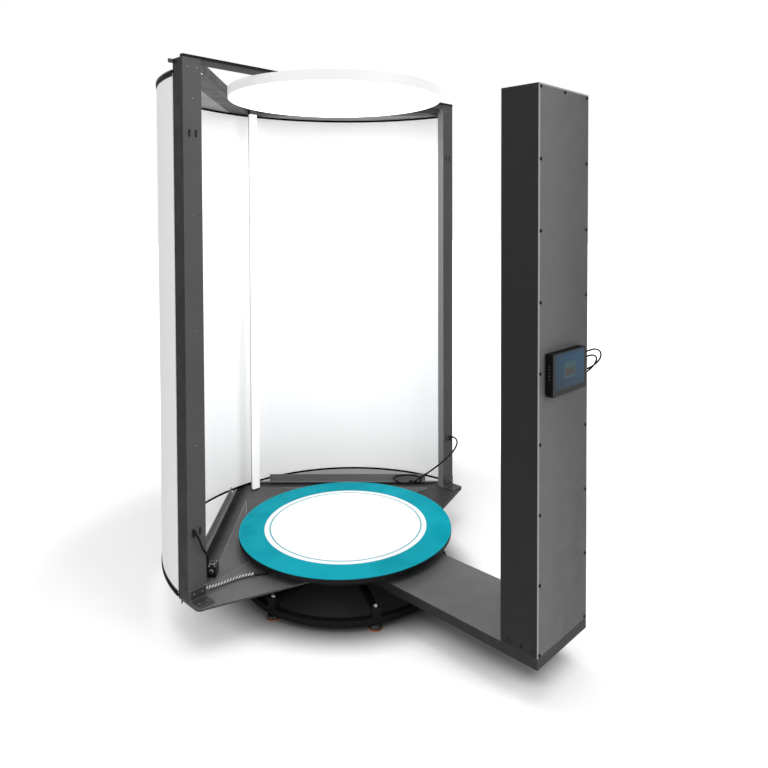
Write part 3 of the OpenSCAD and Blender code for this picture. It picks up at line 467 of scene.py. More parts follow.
@dataclass(frozen=True)
class ScreenSheet(Finish):
    """Matt white sheet with a painted glow inside and painted shade towards the bottom, painted greyer outside as
    painted shade, with its outer rims under the black trims.
    """

    inside: Colour = grey(0.93, 0.932)
    # Outer face painted greyer, as painted shade
    outside: Colour = grey(0.77, 0.775)
    trim: Colour = grey(0.008, 0.009)
    low: float = 0.190
    high: float = 2.250
    trim_reach: float = 0.013
    # Strength of the painted glow on the inner face
    glow: float = 0.26
    middle_y: float = 0.008
    radius: float = 0.8275
    soft: float = 0.0004
    rim_soft: float = 0.0005

    def paint(self, g: Graph) -> None:
        """Lays the sheet's look.

        Args:
            g: the material's graph.
        """
        x, y, z = g.axis()
        r = g.away(x, g.calc("SUBTRACT", y, self.middle_y))
        # Painted shade towards the bottom of the sheet
        tone = g.mix(g.band(z, 0.2, 0.95), scaled(self.inside, 0.96), self.inside)
        outer = g.band(r, self.radius - self.soft, self.radius + self.soft)
        low, high = self.low + self.trim_reach, self.high - self.trim_reach
        rim = g.calc("MAXIMUM", g.band(z, low, low - self.rim_soft), g.band(z, high, high + self.rim_soft))
        tone = g.mix(outer, tone, g.mix(rim, self.outside, self.trim))
        # Painted glow on the inner face only, weaker towards the bottom
        lit = g.product(g.band(outer, 0.0, 1.0, 1.0, 0.0), g.band(z, 0.2, 1.2, 0.75 * self.glow, self.glow))
        g.set(Emission_Color=WHITE, Emission_Strength=lit)
        tone = g.mix(g.band(g.noise(4.0, 3.0), 0.3, 0.8, 0.0, 0.04), tone, grey(0.6, 0.62))
        g.set(Base_Color=tone, Roughness=g.band(g.noise(25.0, 2.0), *SPREAD, 0.55, 0.7))
        g.set(Specular_IOR_Level=0.08)
        g.bump(g.noise(500.0, 2.0), 0.0001, 0.35)


@dataclass(frozen=True)
class LitOpal(Finish):
    """Opal plastic that glows, from lamps behind it; on the lamp housing the glow is painted light."""

    colour: Colour = grey(0.93, 0.92)
    glow: float = 2.2

    def paint(self, g: Graph) -> None:
        """Lays the lit plastic's look.

        Args:
            g: the material's graph.
        """
        cloud = g.mix(g.band(g.noise(6.0, 2.0), *SPREAD), self.colour, scaled(self.colour, 0.97))
        g.set(Base_Color=cloud, Roughness=0.45, Emission_Color=(1.0, 0.995, 0.98, 1.0), Emission_Strength=self.glow)
        g.bump(g.noise(700.0, 2.0), 0.00008, 0.3)


@dataclass(frozen=True)
class Glass(Finish):
    """Tinted glass or a coated lens."""

    colour: Colour
    roughness: float = 0.06
    coat: float = 0.0

    def paint(self, g: Graph) -> None:
        """Lays the glass's look.

        Args:
            g: the material's graph.
        """
        smear = g.noise(9.0, 4.0, 0.6)
        tone = g.mix(g.band(smear, *SPREAD), self.colour, scaled(self.colour, 1.3))
        g.set(Base_Color=tone, IOR=1.5, Coat_Weight=self.coat)
        g.set(Roughness=g.band(smear, 0.4, 0.8, self.roughness, self.roughness + 0.06))


@dataclass(frozen=True)
class LitDisplay(Finish):
    """Display glass with a dim blue field and one pale tile with a brown middle."""

    middle_x: float = -0.014
    middle_z: float = 1.153
    half_width: float = 0.099
    half_height: float = 0.0615
    deep: Colour = (0.003, 0.014, 0.029)
    field_blue: Colour = (0.004, 0.036, 0.070)
    tile: Colour = (0.014, 0.040, 0.049)
    middle: Colour = (0.022, 0.021, 0.021)
    tile_half: Span = (0.38, 0.46)
    middle_half: Span = (0.33, 0.20)
    middle_drop: float = 0.12
    head_row: Span = (0.80, 0.82)
    soft: float = 0.02

    def block(self, g: Graph, u: object, v: object, half: Span) -> Socket:
        """A mask of a rectangle round the middle.

        Args:
            g: the material's graph.
            u: place across, from -1 to 1.
            v: place up, from -1 to 1.
            half: half of the rectangle's width and height.

        Returns:
            The mask, 1 inside.
        """
        wide, high = (g.band(g.calc("ABSOLUTE", at), size + self.soft, size) for at, size in zip((u, v), half))
        return g.product(wide, high)

    def paint(self, g: Graph) -> None:
        """Lays the display's look.

        Args:
            g: the material's graph.
        """
        x, _, z = g.axis()
        u = g.calc("DIVIDE", g.calc("SUBTRACT", x, self.middle_x), self.half_width)
        v = g.calc("DIVIDE", g.calc("SUBTRACT", z, self.middle_z), self.half_height)
        glow = g.band(g.calc("ADD", g.product(u, 0.4), g.product(v, 0.6)), -1.0, 1.0)
        tone = g.mix(glow, self.deep, self.field_blue)
        tone = g.mix(self.block(g, u, v, self.tile_half), tone, self.tile)
        lower = g.calc("ADD", v, self.middle_drop)
        tone = g.mix(self.block(g, u, lower, self.middle_half), tone, self.middle)
        tone = g.mix(g.product(g.band(v, *self.head_row), 0.5), tone, self.deep)
        g.set(Base_Color=tone, Roughness=g.band(g.noise(14.0, 4.0), 0.4, 0.8, 0.10, 0.2))
        g.set(Emission_Color=tone, Emission_Strength=0.45, Specular_IOR_Level=0.25)


@dataclass(frozen=True)
class Jacket(Finish):
    """Round cable jacket with a faint spiral from the strands below."""

    colour: Colour = grey(0.006, 0.0065)
    roughness: float = 0.5

    def paint(self, g: Graph) -> None:
        """Lays the jacket's look.

        Args:
            g: the material's graph.
        """
        scuff = g.band(g.noise(120.0, 3.0), 0.5, 0.8, 0.0, 0.4)
        tone = g.mix(scuff, self.colour, scaled(self.colour, 2.2))
        g.set(Base_Color=tone, Roughness=g.band(g.noise(80.0), *SPREAD, self.roughness - 0.08, self.roughness + 0.08))
        g.set(Specular_IOR_Level=0.12)
        g.bump(g.noise(400.0, 2.0), 0.0002, 0.4)


@dataclass(frozen=True)
class WovenBraid(Finish):
    """Tinned strands of a twisted hose, every other one painted dark by the strand attribute of its mesh, as painted
    shade between the strands.
    """

    colour: Colour = grey(0.60, 0.61)

    def paint(self, g: Graph) -> None:
        """Lays the braid's look.

        Args:
            g: the material's graph.
        """
        grime = g.noise(70.0, 3.0)
        # Every other strand painted dark, as painted shade between the strands
        strand = g.node("Attribute", attribute_name="strand").outputs["Fac"]
        tone = g.mix(strand, self.colour, scaled(self.colour, 0.10))
        tone = g.mix(g.band(grime, 0.5, 0.8, 0.0, 0.3), tone, scaled(self.colour, 0.6))
        g.set(Base_Color=tone, Metallic=0.85, Roughness=g.band(grime, *SPREAD, 0.3, 0.42))
        g.bump(g.noise(900.0, 2.0), 0.0001, 0.4)


class Slot(Enum):
    """The record's material slots and the finish of each."""

    # Painted steels lighten their edges as paint wear and as painted highlight
    BLACK_STEEL = PaintedSteel(grey(0.008, 0.009), 0.5, gloss=0.1, rubbed=0.1)
    # Posts' steel: painted shade on faces turned outward in x
    DARK_STEEL = PaintedSteel(grey(0.072, 0.073), 0.5, flank=0.15, gloss=0.2)
    # Grey steel: painted shade on its side faces
    GREY_STEEL = PaintedSteel(grey(0.095, 0.097), 0.45, rubbed=0.5, upright=0.4)
    LIGHT_GREY_STEEL = PaintedSteel(grey(0.17, 0.173), 0.42, rubbed=0.9)
    BRIGHT_STEEL = BareMetal(grey(0.62, 0.63), 0.24)
    ALUMINIUM = BareMetal(grey(0.70, 0.71), 0.34)
    BRONZE = BareMetal((0.60, 0.42, 0.20), 0.32)
    RUBBER = Moulded(grey(0.006), 0.7, 900.0, 0.00015, 0.1)
    ORANGE_RUBBER = Moulded((0.45, 0.11, 0.03), 0.6, 700.0, 0.00015)
    MAT_PRINT = PrintedMat()
    SCREEN_WHITE = ScreenSheet()
    OPAL = LitOpal()
    WHITE_PAINT = PaintedSteel(grey(0.74, 0.745), 0.4, mottle=0.02, rubbed=0.0)
    BLACK_PLASTIC = Moulded(grey(0.006, 0.0065), 0.42)
    LIGHT_PLASTIC = Moulded(grey(0.045), 0.4, dust=0.1)
    DARK_GLASS = Glass((0.010, 0.013, 0.017), 0.05, coat=0.3)
    DISPLAY_GLASS = LitDisplay()
    LENS_GLASS = Glass((0.012, 0.010, 0.035), 0.03, coat=1.0)
    CORD_JACKET = Jacket()
    BRAID = WovenBraid()

    @property
    def label(self) -> str:
        """The slot's name in the record."""
        return self.name.lower()


# Top beams painted darker than the other steel, as painted shade on their undersides
TOP_BEAM_PAINTED_SHADE = PaintedSteel(grey(0.050, 0.051), 0.45, gloss=0.1)
# Base beams: painted gutter shade and a painted highlight on the lip
BASE_BEAM = PaintedSteel(grey(0.085, 0.086), 0.5, rubbed=0.5, gutter=True, gloss=0.04)
# Finishes of nodes and pieces that stand out from their slot
SPECIAL = {
    # Back cover: painted light fading across from its left side, and a painted highlight strip along its left edge and
    # top
    "back_cover": PaintedSteel(
        grey(0.066, 0.067), 0.5, fade=0.18, rubbed=0.4, gloss=0.2, strip=(0.010, -0.170, 2.130)),
    # Column tray: strong painted shade on its side faces
    "column_tray": PaintedSteel(grey(0.107, 0.109), 0.45, upright=0.07, rubbed=0.3),
    # Right post: painted shade on its outward faces, painted light on its inward faces
    "right_post": PaintedSteel(grey(0.050, 0.051), 0.5, flank=0.2, inner=4.0, gloss=0.2),
    # Cover screws: heads facing -y painted darker than their sides, as painted shade
    "column_screws": Moulded(grey(0.024), 0.5, dust=0.0, gloss=0.05, front=grey(0.0015)),
    # Monitor case: front faces painted lighter than the sides and top, as painted light
    "monitor_case": Moulded(grey(0.002), 0.5, dust=0.05, gloss=0.08, front=grey(0.030)),
    # Lamp housing glows as painted light
    "lamp_housing": LitOpal(grey(0.32, 0.325), 0.5),
    # Foot brackets: bright fold lines as painted highlight and paint wear
    "foot_brackets": PaintedSteel(grey(0.030, 0.031), 0.45, rubbed=1.0, edge=0.003, worn=0.4),
    "top_segments": PaintedSteel(grey(0.22, 0.222), 0.45),
    "left_top_beam": TOP_BEAM_PAINTED_SHADE,
    "right_top_beam": TOP_BEAM_PAINTED_SHADE,
    "screen_trims": Moulded(grey(0.003), 0.5, dust=0.05, gloss=0.05),
    # Infill panels: bright edge lines as painted highlight and paint wear
    "infill_panels": PaintedSteel(grey(0.085, 0.087), 0.45, rubbed=1.0, edge=0.006, worn=0.45),
    "left_base_beam": BASE_BEAM,
    "right_base_beam": BASE_BEAM,
    # Right arm plate: painted shade on its side faces
    "right_arm_plate": PaintedSteel(grey(0.034, 0.035), 0.45, rubbed=0.7, upright=0.4, gloss=0.15),
    "light_diffuser": LitOpal(grey(0.80), 0.45),
    "light_channel": PaintedSteel(grey(0.50, 0.505), 0.5, mottle=0.02, rubbed=0.0),
    "post_screws": BareMetal(grey(0.20, 0.205), 0.34),
}


class Finishes:
    """Materials by slot, each made once, and those of nodes that stand out from their slot."""

    def __init__(self) -> None:
        """Makes every slot's material."""
        self.made = {slot: slot.value.build("finish_" + slot.label) for slot in Slot}
        self.special = {node: finish.build("finish_of_" + node) for node, finish in SPECIAL.items()}

    def dress(self, piece: Piece, slot: Slot) -> None:
        """Gives a piece its own or its slot's material.

        Args:
            piece: the piece.
            slot: its slot.
        """
        piece.data.materials.clear()
        piece.data.materials.append(self.special.get(piece.name, self.made[slot]))

    def dress_nodes(self) -> None:
        """Gives every CAD node the material of its slot in the record."""
        for row in frame["record"]["subparts"]:
            node = frame["nodes"][row["node"]]
            node.data.materials.clear()
            plain = self.made[Slot[row["material_slot"].upper()]]
            node.data.materials.append(self.special.get(row["node"], plain))


class Fitting:
    """A piece, or a few, made by hand to ride the frame."""

    def build(self, finishes: Finishes) -> None:
        """Makes the pieces.

        Args:
            finishes: the materials.
        """
        raise NotImplementedError


@dataclass
class Studio:
    """Camera, lamps, white surroundings and the pale floor with painted shadows."""

    frame_pixels: int = 768
    focal_pixels: float = 670.03
    axis_pixels: float = 237.34
    azimuth: float = -45.598
    pitch: float = 1.527
    roll: float = -0.182
    eye: Point = (-2.1264, -2.3423, 1.6759)
    sensor: float = 36.0
    floor_half: float = 40.0
    ambient: float = 0.62
    floor_pale: Span = (0.86, 0.9)
    # Painted shadows in the floor's colour: their grey, and their reach under the platform, behind the screen's right
    # half and under the tray
    floor_dark: float = 0.075
    under: Span = (0.42, 0.68)
    behind_off: float = 0.07
    behind_half: Span = (0.85, 0.35)
    behind_near: Span = (0.4, 0.9)
    behind_far: Span = (2.1, 1.25)
    behind_shade: float = 0.7
    tray_x: Span = (0.0, 0.12)
    tray_y: Span = (-1.01, -0.40)
    tray_fade: float = 0.12
    tray_light: float = 0.2
    dark_to: float = 0.45
    shadow_from: float = 1.3
    shadow_to: float = 2.6
    floor_lift: float = 0.14

    def camera(self) -> None:
        """Sets the camera at the photograph's viewing angle."""
        data = bpy.data.cameras.new("camera")
        data.sensor_width = self.sensor
        data.lens = self.sensor * self.focal_pixels / self.frame_pixels
        data.shift_y = (self.axis_pixels - self.frame_pixels / 2) / self.frame_pixels
        item = bpy.data.objects.new("camera", data)
        turn = Euler((math.pi / 2 - math.radians(self.pitch), 0.0, math.radians(self.azimuth))).to_matrix().to_4x4()
        item.matrix_world = Matrix.Translation(self.eye) @ turn @ Matrix.Rotation(math.radians(self.roll), 4, "Z")
        bpy.context.scene.collection.objects.link(item)
        bpy.context.scene.camera = item

    def lamp(self, name: str, at: Point, to: Point, size: float, watts: float) -> None:
        """Adds a square soft lamp.

        Args:
            name: the lamp's name.
            at: its place.
            to: where it points.
            size: its side.
            watts: its power.
        """
        data = bpy.data.lights.new(name, "AREA")
        data.size = size
        data.energy = watts
        item = bpy.data.objects.new(name, data)
        item.location = at
        item.rotation_euler = (Vector(to) - Vector(at)).to_track_quat("-Z", "Y").to_euler()
        bpy.context.scene.collection.objects.link(item)

    def surroundings(self) -> None:
        """Sets a white world that lights the object softly and looks white to the eye and in gloss."""
        world = bpy.data.worlds.new("surroundings")
        bpy.context.scene.world = world
        g = Nodes(world)
        path = g.node("LightPath").outputs
        seen = path["Is Camera Ray"]
        for ray in ("Is Glossy Ray", "Is Transmission Ray"):
            seen = g.calc("MAXIMUM", seen, path[ray])
        strength = g.node("MapRange", {"Value": seen, "To Min": self.ambient, "To Max": 1.0})
        background = g.nodes["Background"].inputs
        g.feed(background["Color"], WHITE)
        g.feed(background["Strength"], strength.outputs["Result"])

    def open_floor(self, g: Graph, x: Socket, y: Socket) -> Socket:
        """The share of the floor's colour left by painted shadows: less under the platform, under the tray and behind
        the screen's right half.

        Args:
            g: the floor's graph.
            x: the place across.
            y: the place in depth.

        Returns:
            One in the open and less under the painted shadows.
        """
        half = math.sqrt(0.5)
        along = g.product(g.calc("SUBTRACT", x, y), half)
        back = g.product(g.calc("ADD", x, y), half)
        beside = g.calc("ABSOLUTE", g.calc("ADD", along, self.behind_off))
        shade = g.product(g.band(beside, *self.behind_half, 0.0, self.behind_shade),
                          g.band(back, *self.behind_near), g.band(back, *self.behind_far))
        past = []
        for place, (low, high) in ((x, self.tray_x), (y, self.tray_y)):
            off = g.calc("ABSOLUTE", g.calc("SUBTRACT", place, (low + high) / 2))
            past.append(g.calc("MAXIMUM", g.calc("SUBTRACT", off, (high - low) / 2), 0.0))
        tray = g.band(g.away(*past), 0.0, self.tray_fade, self.tray_light, 1.0)
        return g.product(g.band(g.away(x, y), *self.under), g.calc("SUBTRACT", 1.0, shade), tray)

    def floor(self) -> None:
        """Lays a pale floor that keeps the object's shadow, with painted shadows under the platform, under the tray and
        behind the screen's right half, and is white further off.
        """
        Bench.clear()
        bpy.ops.mesh.primitive_plane_add(size=2 * self.floor_half)
        plane = bpy.context.object
        plane.name = "floor"
        g = Graph("pale_floor")
        g.set(Roughness=0.9, Specular_IOR_Level=0.1)
        seen = g.node("LightPath").outputs["Is Camera Ray"]
        x, y, _ = g.axis()
        far, light = g.away(x, y), self.open_floor(g, x, y)
        pale = g.mix(g.noise(0.6, 2.0), *(grey(level) for level in self.floor_pale))
        # Painted shadows darken the floor's colour, and below, its white lift
        g.set(Base_Color=g.mix(light, grey(self.floor_dark), pale))
        near = g.band(far, self.dark_to, self.shadow_from, 0.0, self.floor_lift)
        lift = g.calc("MAXIMUM", near, g.band(far, self.shadow_from, self.shadow_to, self.floor_lift, 1.0))
        g.set(Emission_Color=WHITE, Emission_Strength=g.product(seen, lift, light))
        plane.data.materials.append(g.material)

    def build(self) -> None:
        """Makes the whole studio."""
        bpy.context.scene.view_settings.view_transform = "Standard"
        self.camera()
        self.surroundings()
        self.lamp("front_lamp", (0.6, -5.4, 3.4), (0.0, -0.2, 0.9), 3.0, 115.0)
        self.lamp("top_lamp", (-0.6, -0.8, 5.4), (0.0, 0.0, 0.0), 4.0, 115.0)
        self.lamp("side_lamp", (-5.0, -0.6, 2.6), (0.0, 0.0, 1.0), 3.0, 40.0)
        self.floor()


def spline(points: Sequence[Vector], steps: int) -> list[Vector]:
    """A smooth route through points, with the same curve as the model's own cables.

    Args:
        points: the points it passes.
        steps: places on each stretch.

    Returns:
        The places along the route.
    """
    last = len(points) - 1
    route = []
    for i in range(last):
        a, b, c, d = (points[min(max(k, 0), last)] for k in (i - 1, i, i + 1, i + 2))
        for t in (k / steps for k in range(steps)):
            route.append(0.5 * (2 * b + (c - a) * t + (2 * a - 5 * b + 4 * c - d) * t ** 2
                                + (3 * b - a - 3 * c + d) * t ** 3))
    return route + [points[last]]


def tube(name: str, lines: Sequence[Sequence[Vector]], radius: float,
         own: dict[int, float] | None = None) -> Piece:
    """Makes round tubes along lines, as one mesh.

    Args:
        name: the piece's name.
        lines: the middle lines.
        radius: the tubes' radius, in millimetres.
        own: radius of single lines, by number.

    Returns:
        The piece.
    """
    curve = bpy.data.curves.new(name, "CURVE")
    curve.dimensions = "3D"
    curve.bevel_depth = radius * MM
    curve.bevel_resolution = 3
    curve.use_fill_caps = True
    for number, line in enumerate(lines):
        stretch = curve.splines.new("POLY")
        stretch.points.add(len(line) - 1)
        for place, point in zip(stretch.points, line):
            place.co = (*point, 1.0)
            place.radius = (own or {}).get(number, radius) / radius
    piece = bpy.data.objects.new(name, curve)
    bpy.context.scene.collection.objects.link(piece)
    Bench.pick(piece)
    bpy.ops.object.convert(target="MESH")
    bpy.ops.object.shade_smooth_by_angle(angle=math.radians(50.0))
    return piece


@dataclass
class Cord(Fitting):
    """A free cord between two fittings of the frame."""

    name: str
    node: str
    slot: Slot
    diameter: float
    points: tuple[Point, ...]
    lay: str = "loose"
    stiffness: str = "medium"
    steps: int = 6
    strands: int = 0
    pitch: float = 40.0
    strand_share: float = 0.2

    def route(self) -> list[Vector]:
        """The cord's middle line, in metres."""
        return spline([Vector(p) * MM for p in self.points], self.steps)

    def weave(self, route: Sequence[Vector]) -> Piece:
        """Winds strands one way round a route.

        Args:
            route: the cord's middle line.

        Returns:
            The twisted hose.
        """
        thick = self.diameter * self.strand_share
        reach = (self.diameter - thick) / 2 * MM
        lines = [list(route)]
        for strand in range(self.strands):
            run, line = 0.0, []
            for k, point in enumerate(route):
                ahead = (route[min(k + 1, len(route) - 1)] - route[max(k - 1, 0)]).normalized()
                across = ahead.cross(UPWARD).normalized()
                up = across.cross(ahead)
                run += (point - route[k - 1]).length if k else 0.0
                turn = 2 * math.pi * (run / (self.pitch * MM) + strand / self.strands)
                line.append(point + reach * (math.cos(turn) * across + math.sin(turn) * up))
            lines.append(line)
        piece = tube(self.name, lines, thick / 2, {0: self.diameter / 2 - thick * 0.75})
        # Marks every other line for the braid's painted shade
        dark = piece.data.attributes.new("strand", "FLOAT", "POINT")
        each = len(piece.data.vertices) // len(lines)
        for number, value in enumerate(dark.data):
            value.value = float(number // each % 2 == 0)
        return piece

    def build(self, finishes: Finishes) -> None:
        """Makes the cord on its route, as a round tube or a twisted hose.

        Args:
            finishes: the materials.
        """
        route = self.route()
        piece = tube(self.name, [route], self.diameter / 2) if not self.strands else self.weave(route)
        finishes.dress(piece, self.slot)
        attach(piece, "frame")
        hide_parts(self.node)


@dataclass
class Solid:
    """One closed solid of a CAD node, known by its corners."""

    corners: list[Vector]

    @property
    def low(self) -> Vector:
        """The lowest corner of its box."""
        return Vector(min(c[i] for c in self.corners) for i in range(3))

    @property
    def high(self) -> Vector:
        """The highest corner of its box."""
        return Vector(max(c[i] for c in self.corners) for i in range(3))

    @property
    def middle(self) -> Vector:
        """The middle of its box."""
        return (self.low + self.high) / 2


def solids_of(node: str) -> list[Solid]:
    """Parts a CAD node's mesh into its separate solids.

    Args:
        node: the node's name.

    Returns:
        The solids, in the order of their corners in the mesh.
    """
    mesh = frame["nodes"][node].data
    keys = [tuple(round(c, 6) for c in v.co) for v in mesh.vertices]
    parent = {key: key for key in keys}

    def root(key: tuple) -> tuple:
        """The key that stands for a solid.

        Args:
            key: one corner of the solid.

        Returns:
            The corner that stands for it.
        """
        while parent[key] != key:
            parent[key] = parent[parent[key]]
            key = parent[key]
        return key

    for face in mesh.polygons:
        first, *rest = (keys[i] for i in face.vertices)
        for key in rest:
            parent[root(key)] = root(first)
    groups: dict[tuple, list[Vector]] = {}
    for key in parent:
        groups.setdefault(root(key), []).append(Vector(key))
    return [Solid(corners) for corners in groups.values()]


class Bench:
    """Short calls for modelling by hand: turned bodies, hexagons, placing and joining."""

    @staticmethod
    def clear() -> None:
        """Deselects everything."""
        bpy.ops.object.select_all(action="DESELECT")

    @classmethod
    def pick(cls, *pieces: Piece) -> None:
        """Selects pieces and nothing else, with the first one active.

        Args:
            pieces: the pieces.
        """
        cls.clear()
        for piece in pieces:
            piece.select_set(True)
        bpy.context.view_layer.objects.active = pieces[0]

    @staticmethod
    @contextmanager
    def editing(select: str | None = "SELECT") -> Iterator[None]:
        """Edit mode, with everything or nothing selected at its start, left at the end.

        Args:
            select: what the selection becomes, or None to leave it.

        Yields:
            Nothing.
        """
        bpy.ops.object.mode_set(mode="EDIT")
        if select:
            bpy.ops.mesh.select_all(action=select)
        yield
        bpy.ops.object.mode_set(mode="OBJECT")

    @classmethod
    def bevel(cls, width: float, segments: int, smooth: float) -> None:
        """Rounds every edge of the active piece.

        Args:
            width: the bevel's width, in millimetres.
            segments: its steps.
            smooth: edges flatter than this angle are smoothed.
        """
        with cls.editing():
            bpy.ops.mesh.bevel(offset=width * MM, segments=segments, affect="EDGES", clamp_overlap=True)
        bpy.ops.object.shade_smooth_by_angle(angle=math.radians(smooth))

    @classmethod
    def turned(cls, name: str, profile: Sequence[Span], sides: int = 32, smooth: float = 35.0) -> Piece:
        """Makes a closed body of revolution about the z axis by extruding and scaling a disc step by step.

        Args:
            name: the piece's name.
            profile: radius and height of each step, in millimetres, from the bottom up.
            sides: corners of each ring.
            smooth: edges flatter than this angle are smoothed.

        Returns:
            The body, selected and active.
        """
        cls.clear()
        radius, height = profile[0]
        bpy.ops.mesh.primitive_circle_add(vertices=sides, radius=radius * MM, fill_type="NGON",
                                          location=(0, 0, height * MM))
        piece = bpy.context.object
        piece.name = name
        bpy.ops.object.transform_apply(location=True)
        with cls.editing():
            for step_radius, step_height in profile[1:]:
                rise = (0.0, 0.0, (step_height - height) * MM)
                bpy.ops.mesh.extrude_region_move(TRANSFORM_OT_translate={"value": rise})
                share = step_radius / radius
                bpy.ops.transform.resize(value=(share, share, 1.0), center_override=(0.0, 0.0, step_height * MM))
                radius, height = step_radius, step_height
            bpy.ops.mesh.select_all(action="SELECT")
            bpy.ops.mesh.normals_make_consistent(inside=False)
        bpy.ops.object.shade_smooth_by_angle(angle=math.radians(smooth))
        return piece

    @classmethod
    def place(cls, piece: Piece, at: Vector, towards: Vector = UPWARD) -> Piece:
        """Turns a piece's z axis to a direction, moves it to its place and leaves its object at the origin.

        Args:
            piece: the piece.
            at: where its origin goes.
            towards: where its z axis points.

        Returns:
            The piece.
        """
        cls.pick(piece)
        piece.matrix_world = Matrix.Translation(at) @ towards.to_track_quat("Z", "Y").to_matrix().to_4x4()
        bpy.ops.object.transform_apply(location=True, rotation=True, scale=True)
        return piece

    @classmethod
    def scatter(cls, pattern: Piece, places: Sequence[tuple[Vector, Vector]], name: str) -> Piece:
        """Puts copies of a pattern, each with a mesh of its own, at places and joins them.

        Args:
            pattern: the piece that is copied, and then removed.
            places: where each copy goes and where its z axis points.
            name: the joined piece's name.

        Returns:
            The joined piece.
        """
        made = []
        for at, towards in places:
            twin = pattern.copy()
            twin.data = pattern.data.copy()
            bpy.context.scene.collection.objects.link(twin)
            made.append(cls.place(twin, at, towards))
        bpy.data.objects.remove(pattern)
        return cls.join(made, name)

    @classmethod
    def join(cls, pieces: Sequence[Piece], name: str) -> Piece:
        """Joins pieces into one object.

        Args:
            pieces: the pieces, of which the first stays.
            name: the joined piece's name.

        Returns:
            The joined piece.
        """
        cls.pick(*pieces)
        if len(pieces) > 1:
            bpy.ops.object.join()
        pieces[0].name = name
        return pieces[0]

    @classmethod
    def hexagon(cls, name: str, across: float, low: float, high: float, chamfer: float) -> Piece:
        """Makes a hexagon with chamfered rims about the z axis.

        Args:
            name: the piece's name.
            across: width over its corners, in millimetres.
            low: its underside.
            high: its top.
            chamfer: width of its bevelled rims.

        Returns:
            The hexagon.
        """
        cls.clear()
        bpy.ops.mesh.primitive_cylinder_add(vertices=6, radius=across / 2 * MM, depth=(high - low) * MM,
                                            location=(0, 0, (low + high) / 2 * MM))
        piece = bpy.context.object
        piece.name = name
        bpy.ops.object.transform_apply(location=True)
        cls.bevel(chamfer, 2, 25.0)
        return piece

    @staticmethod
    def mount(piece: Piece, finishes: Finishes, slot: Slot, body: str, *nodes: str) -> None:
        """Dresses a finished piece, lets it ride a body and hides the CAD nodes that it stands for.

        Args:
            piece: the piece.
            finishes: the materials.
            slot: the piece's finish.
            body: the body that it rides.
            nodes: the CAD nodes that it replaces.
        """
        finishes.dress(piece, slot)
        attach(piece, body)
        if nodes:
            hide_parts(*nodes)
        LOG.info("%s: %d faces", piece.name, len(piece.data.polygons))


@dataclass
class LevellingFeet(Fitting):
    """Feet on threaded studs: a rubber pad, a domed cap and hexagon nuts, at the places of the CAD studs."""

    pad_height: float = 6.0
    cap_height: float = 22.0
    stud_diameter: float = 12.0
    nut_across: float = 21.0
    thread_pitch: float = 2.5
    thread_depth: float = 0.9
    thread_sides: int = 16
    chamfer: float = 0.9

    def cap(self, width: float) -> Piece:
        """A domed cap of a width over its pad.

        Args:
            width: the width, in millimetres.

        Returns:
            The cap.
        """
        r, low, high, neck = width / 2, self.pad_height, self.cap_height, self.stud_diameter / 2 + 6.0
        rise = high - low
        skirt = 5.0
        dome = [(neck + (r - 1.0 - neck) * math.cos(a), low + skirt + (rise - skirt) * math.sin(a))
                for a in map(math.radians, (12, 30, 48, 66, 82))]
        lip = [(r - 0.8, low), (r, low + 0.8), (r, low + skirt - 1.0), (r - 0.6, low + skirt)]
        return Bench.turned("cap", [*lip, *dome, (neck - 0.5, high), (neck - 3.0, high)], 48)

    def pad(self, width: float) -> Piece:
        """A rubber pad with a rounded foot and one groove.

        Args:
            width: the cap's width, in millimetres.

        Returns:
            The pad.
        """
        r, top = width / 2 - 0.5, self.pad_height
        steps = [(r - 3.0, 0.0), (r - 1.0, 0.5), (r, 1.8), (r, 3.0), (r - 0.8, 3.4), (r - 0.8, 3.8), (r, 4.2), (r, top)]
        return Bench.turned("pad", steps, 48)

    def stud(self, top: float) -> Piece:
        """A threaded bar from the cap's floor to a height.

        Args:
            top: the height, in millimetres.

        Returns:
            The bar.
        """
        r, z = self.stud_diameter / 2, self.pad_height + 3.0
        steps = [(r - self.thread_depth, z)]
        while z + self.thread_pitch < top - 1.0:
            steps += [(r, z + self.thread_pitch / 2), (r - self.thread_depth, z + self.thread_pitch)]
            z += self.thread_pitch
        return Bench.turned("stud", [*steps, (r - 0.4, top - 1.0), (r - 1.4, top)], self.thread_sides, 20.0)

    def build(self, finishes: Finishes) -> None:
        """Makes all the feet.

        Args:
            finishes: the materials.
        """
        caps, pads, studs = [], [], []
        for solid in solids_of("foot_caps"):
            at = Vector((solid.middle.x, solid.middle.y, 0.0))
            width = (solid.high.x - solid.low.x) / MM
            caps.append(Bench.place(self.cap(width), at))
            pads.append(Bench.place(self.pad(width), at))
        for solid in solids_of("foot_studs"):
            at = Vector((solid.middle.x, solid.middle.y, 0.0))
            studs.append(Bench.place(self.stud(solid.high.z / MM), at))
            wide = [c.z / MM for c in solid.corners if (c.xy - at.xy).length > self.stud_diameter / 2 * MM + MM]
            if wide:
                nut = Bench.hexagon("nut", self.nut_across, min(wide), max(wide), self.chamfer)
                studs.append(Bench.place(nut, at))
        Bench.mount(Bench.join(caps, "foot_domes"), finishes, Slot.BLACK_PLASTIC, "frame", "foot_caps")
        Bench.mount(Bench.join(pads, "foot_rubbers"), finishes, Slot.ORANGE_RUBBER, "frame", "foot_pads")
        Bench.mount(Bench.join(studs, "foot_threads"), finishes, Slot.BRIGHT_STEEL, "frame", "foot_studs")


